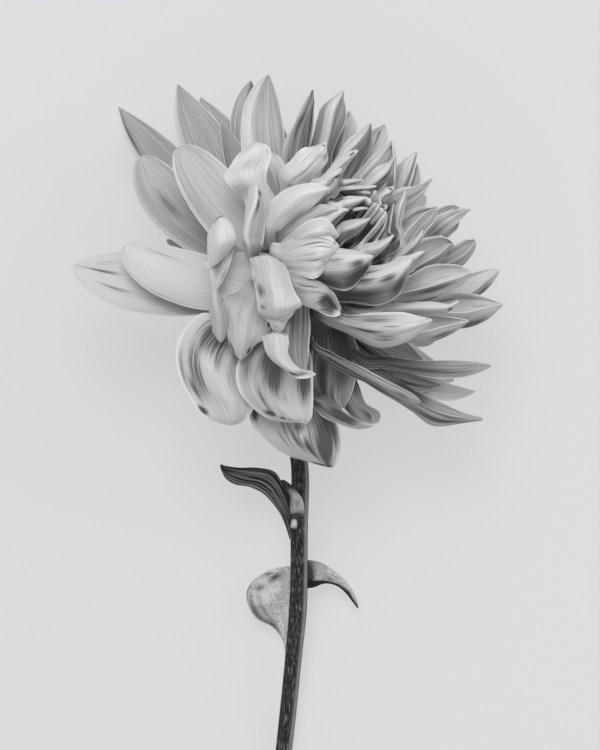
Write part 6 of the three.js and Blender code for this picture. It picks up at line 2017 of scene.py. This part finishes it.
def make_lower_leaf(context):
    """The pale leaf that wraps round behind the stem."""
    material = leaf_back_material(colours_of(context))
    thickness = sizes_of(context).leaf_thickness / MM
    piece = blades_object("lower_leaf_blade", leaf_values(LOWER_LEAF, context, 921), thickness, material)
    finished(piece, "leaf_back", "lower_leaf")


# ---- Stage ----
FLOOR_SIZE = 6.0
VIEW_SHIFT = (1.0, -26.0)  # from the receptacle to the middle of the picture, in millimetres
SENSOR = 36.0
# Size and place of each disc of light, in metres.
KEY_LIGHT = (1.5, (-0.35, 1.2, 2.8))
FILL_LIGHT = (2.0, (-0.6, -1.2, 2.2))
SIDE_LIGHT = (1.6, (2.0, 1.0, 1.5))


def area_light(name, power, size, place, target):
    """A round soft light that looks at the target."""
    data = bpy.data.lights.new(name, "AREA")
    data.shape = "DISK"
    data.size = size
    data.energy = power
    light = bpy.data.objects.new(name, data)
    bpy.context.scene.collection.objects.link(light)
    light.location = place
    light.rotation_euler = (Vector(target) - Vector(place)).to_track_quat("-Z", "Y").to_euler()


def make_stage(context):
    """The pale surface, three soft lights, even surroundings, and the camera that looks straight down."""
    scene = context.scene
    sizes, lights = sizes_of(context), scene.dahlia_lights
    half = FLOOR_SIZE / 2
    mesh = bpy.data.meshes.new("surface")
    corners = [(-half, -half, 0), (half, -half, 0), (half, half, 0), (-half, half, 0)]
    mesh.from_pydata(corners, [], [(0, 1, 2, 3)])
    mesh.materials.append(floor_material(colours_of(context).floor))
    floor = bpy.data.objects.new("surface", mesh)
    scene.collection.objects.link(floor)
    head = HEAD * MM
    area_light("key_light", lights.key, *KEY_LIGHT, head)
    area_light("fill_light", lights.fill, *FILL_LIGHT, head)
    area_light("side_light", lights.side, *SIDE_LIGHT, head)
    world = bpy.data.worlds.new("Studio air")
    world.use_nodes = True
    world.node_tree.nodes["Background"].inputs["Color"].default_value = (1, 1, 1, 1)
    world.node_tree.nodes["Background"].inputs["Strength"].default_value = lights.surroundings
    scene.world = world
    scene.view_settings.view_transform = "Standard"
    data = bpy.data.cameras.new("camera")
    data.sensor_width = SENSOR
    data.lens = SENSOR * sizes.camera_height / sizes.view_height
    camera = bpy.data.objects.new("camera", data)
    right, up = VIEW_SHIFT
    camera.location = (head[0] + right * MM, head[1] + up * MM, head[2] + sizes.camera_height)
    scene.collection.objects.link(camera)
    data.clip_end = 20.0
    scene.camera = camera


# ---- Operators ----
class DAHLIA_OT_receptacle(Operator):
    """Make the core that the petals grow from"""

    bl_idname = "dahlia.receptacle"
    bl_label = "Receptacle"

    def execute(self, context):
        profile = [
            (0, -9), (7, -8.9), (12, -8), (17, -5), (21, 0), (23, 6),
            (23.5, 12), (22, 18), (17, 23.5), (12, 25), (0, 25),
        ]
        core = turned_object("receptacle", profile, 60, core_material(colours_of(context)))
        finished(core, "petal", "bloom")
        return {"FINISHED"}


class DAHLIA_OT_left_fan(Operator):
    """Make the large pale petals that fan out to the left"""

    bl_idname = "dahlia.left_fan"
    bl_label = "Left Fan"

    def execute(self, context):
        return make_petals(context, "left_fan_petals", LEFT_FAN, FAN_LOOK, 100)


class DAHLIA_OT_crown(Operator):
    """Make the upright petals of the crown"""

    bl_idname = "dahlia.crown"
    bl_label = "Crown"

    def execute(self, context):
        return make_petals(context, "crown_petals", CROWN_PETALS, CROWN_LOOK, 200)


class DAHLIA_OT_boats(Operator):
    """Make the boat-shaped petals on the right"""

    bl_idname = "dahlia.boats"
    bl_label = "Boat Petals"

    def execute(self, context):
        return make_petals(context, "boat_petals", BOATS, BOAT_LOOK, 300)


class DAHLIA_OT_low_right(Operator):
    """Make the slender petals low on the right, painted darker because they lie in shade"""

    bl_idname = "dahlia.low_right"
    bl_label = "Low Right"

    def execute(self, context):
        return make_petals(context, "low_right_petals", LOW_RIGHT, {}, 400)


class DAHLIA_OT_skirt(Operator):
    """Make the broad petals that hang over the stem"""

    bl_idname = "dahlia.skirt"
    bl_label = "Skirt"

    def execute(self, context):
        return make_petals(context, "skirt_petals", SKIRT, {}, 500)


class DAHLIA_OT_turned(Operator):
    """Make the curled petals that stand in front"""

    bl_idname = "dahlia.turned"
    bl_label = "Turned Petals"

    def execute(self, context):
        return make_petals(context, "turned_petals", TURNED, TURNED_LOOK, 600)


class DAHLIA_OT_round_the_eye(Operator):
    """Make the small petals that close round the eye"""

    bl_idname = "dahlia.round_the_eye"
    bl_label = "Round the Eye"

    def execute(self, context):
        return make_petals(context, "eye_ring_petals", ROUND_THE_EYE, EYE_RING_LOOK, 700)


class DAHLIA_OT_spiral(Operator):
    """Make the outer petals on the golden-angle spiral"""

    bl_idname = "dahlia.spiral"
    bl_label = "Spiral Petals"

    def execute(self, context):
        return make_petals(context, "spiral_petals", spiral_petals(), {}, 800)


class DAHLIA_OT_eye(Operator):
    """Make the young florets of the eye"""

    bl_idname = "dahlia.eye"
    bl_label = "Eye"

    def execute(self, context):
        make_eye(context)
        return {"FINISHED"}


class DAHLIA_OT_calyx(Operator):
    """Make the calyx and its bracts"""

    bl_idname = "dahlia.calyx"
    bl_label = "Calyx"

    def execute(self, context):
        make_calyx(context)
        return {"FINISHED"}


class DAHLIA_OT_stem(Operator):
    """Make the cut stem"""

    bl_idname = "dahlia.stem"
    bl_label = "Stem"

    def execute(self, context):
        make_stem(context)
        return {"FINISHED"}


class DAHLIA_OT_upper_leaf(Operator):
    """Make the narrow dark leaf and its bud"""

    bl_idname = "dahlia.upper_leaf"
    bl_label = "Upper Leaf"

    def execute(self, context):
        make_upper_leaf(context)
        return {"FINISHED"}


class DAHLIA_OT_lower_leaf(Operator):
    """Make the pale leaf that wraps round behind the stem"""

    bl_idname = "dahlia.lower_leaf"
    bl_label = "Lower Leaf"

    def execute(self, context):
        make_lower_leaf(context)
        return {"FINISHED"}


class DAHLIA_OT_stage(Operator):
    """Make the surface, the lights and the camera"""

    bl_idname = "dahlia.stage"
    bl_label = "Studio Stage"

    def execute(self, context):
        make_stage(context)
        return {"FINISHED"}


PIECES = (
    DAHLIA_OT_receptacle,
    DAHLIA_OT_left_fan,
    DAHLIA_OT_crown,
    DAHLIA_OT_boats,
    DAHLIA_OT_low_right,
    DAHLIA_OT_skirt,
    DAHLIA_OT_turned,
    DAHLIA_OT_round_the_eye,
    DAHLIA_OT_spiral,
    DAHLIA_OT_eye,
    DAHLIA_OT_calyx,
    DAHLIA_OT_stem,
    DAHLIA_OT_upper_leaf,
    DAHLIA_OT_lower_leaf,
    DAHLIA_OT_stage,
)


class DAHLIA_PT_panel(Panel):
    """Lists the dahlia's pieces, sizes and colours"""

    bl_label = "Decorative Dahlia"
    bl_idname = "DAHLIA_PT_panel"
    bl_space_type = "VIEW_3D"
    bl_region_type = "UI"
    bl_category = "Dahlia"

    def draw(self, context):
        layout = self.layout
        for piece in PIECES:
            layout.operator(piece.bl_idname)
        scene = context.scene
        for group in (scene.dahlia_sizes, scene.dahlia_colours, scene.dahlia_lights):
            box = layout.box()
            for key in group.__annotations__:
                box.prop(group, key)


CLASSES = (DahliaSizes, DahliaColours, DahliaLights, *PIECES, DAHLIA_PT_panel)


def register():
    """Adds the classes and the scene's properties to Blender."""
    for cls in CLASSES:
        bpy.utils.register_class(cls)
    bpy.types.Scene.dahlia_sizes = PointerProperty(type=DahliaSizes)
    bpy.types.Scene.dahlia_colours = PointerProperty(type=DahliaColours)
    bpy.types.Scene.dahlia_lights = PointerProperty(type=DahliaLights)


def unregister():
    """Takes them out again."""
    del bpy.types.Scene.dahlia_lights
    del bpy.types.Scene.dahlia_colours
    del bpy.types.Scene.dahlia_sizes
    for cls in reversed(CLASSES):
        bpy.utils.unregister_class(cls)


def main():
    """Makes every piece in order."""
    register()
    for piece in PIECES:
        group, name = piece.bl_idname.split(".")
        getattr(getattr(bpy.ops, group), name)()


if __name__ == "__main__":
    main()
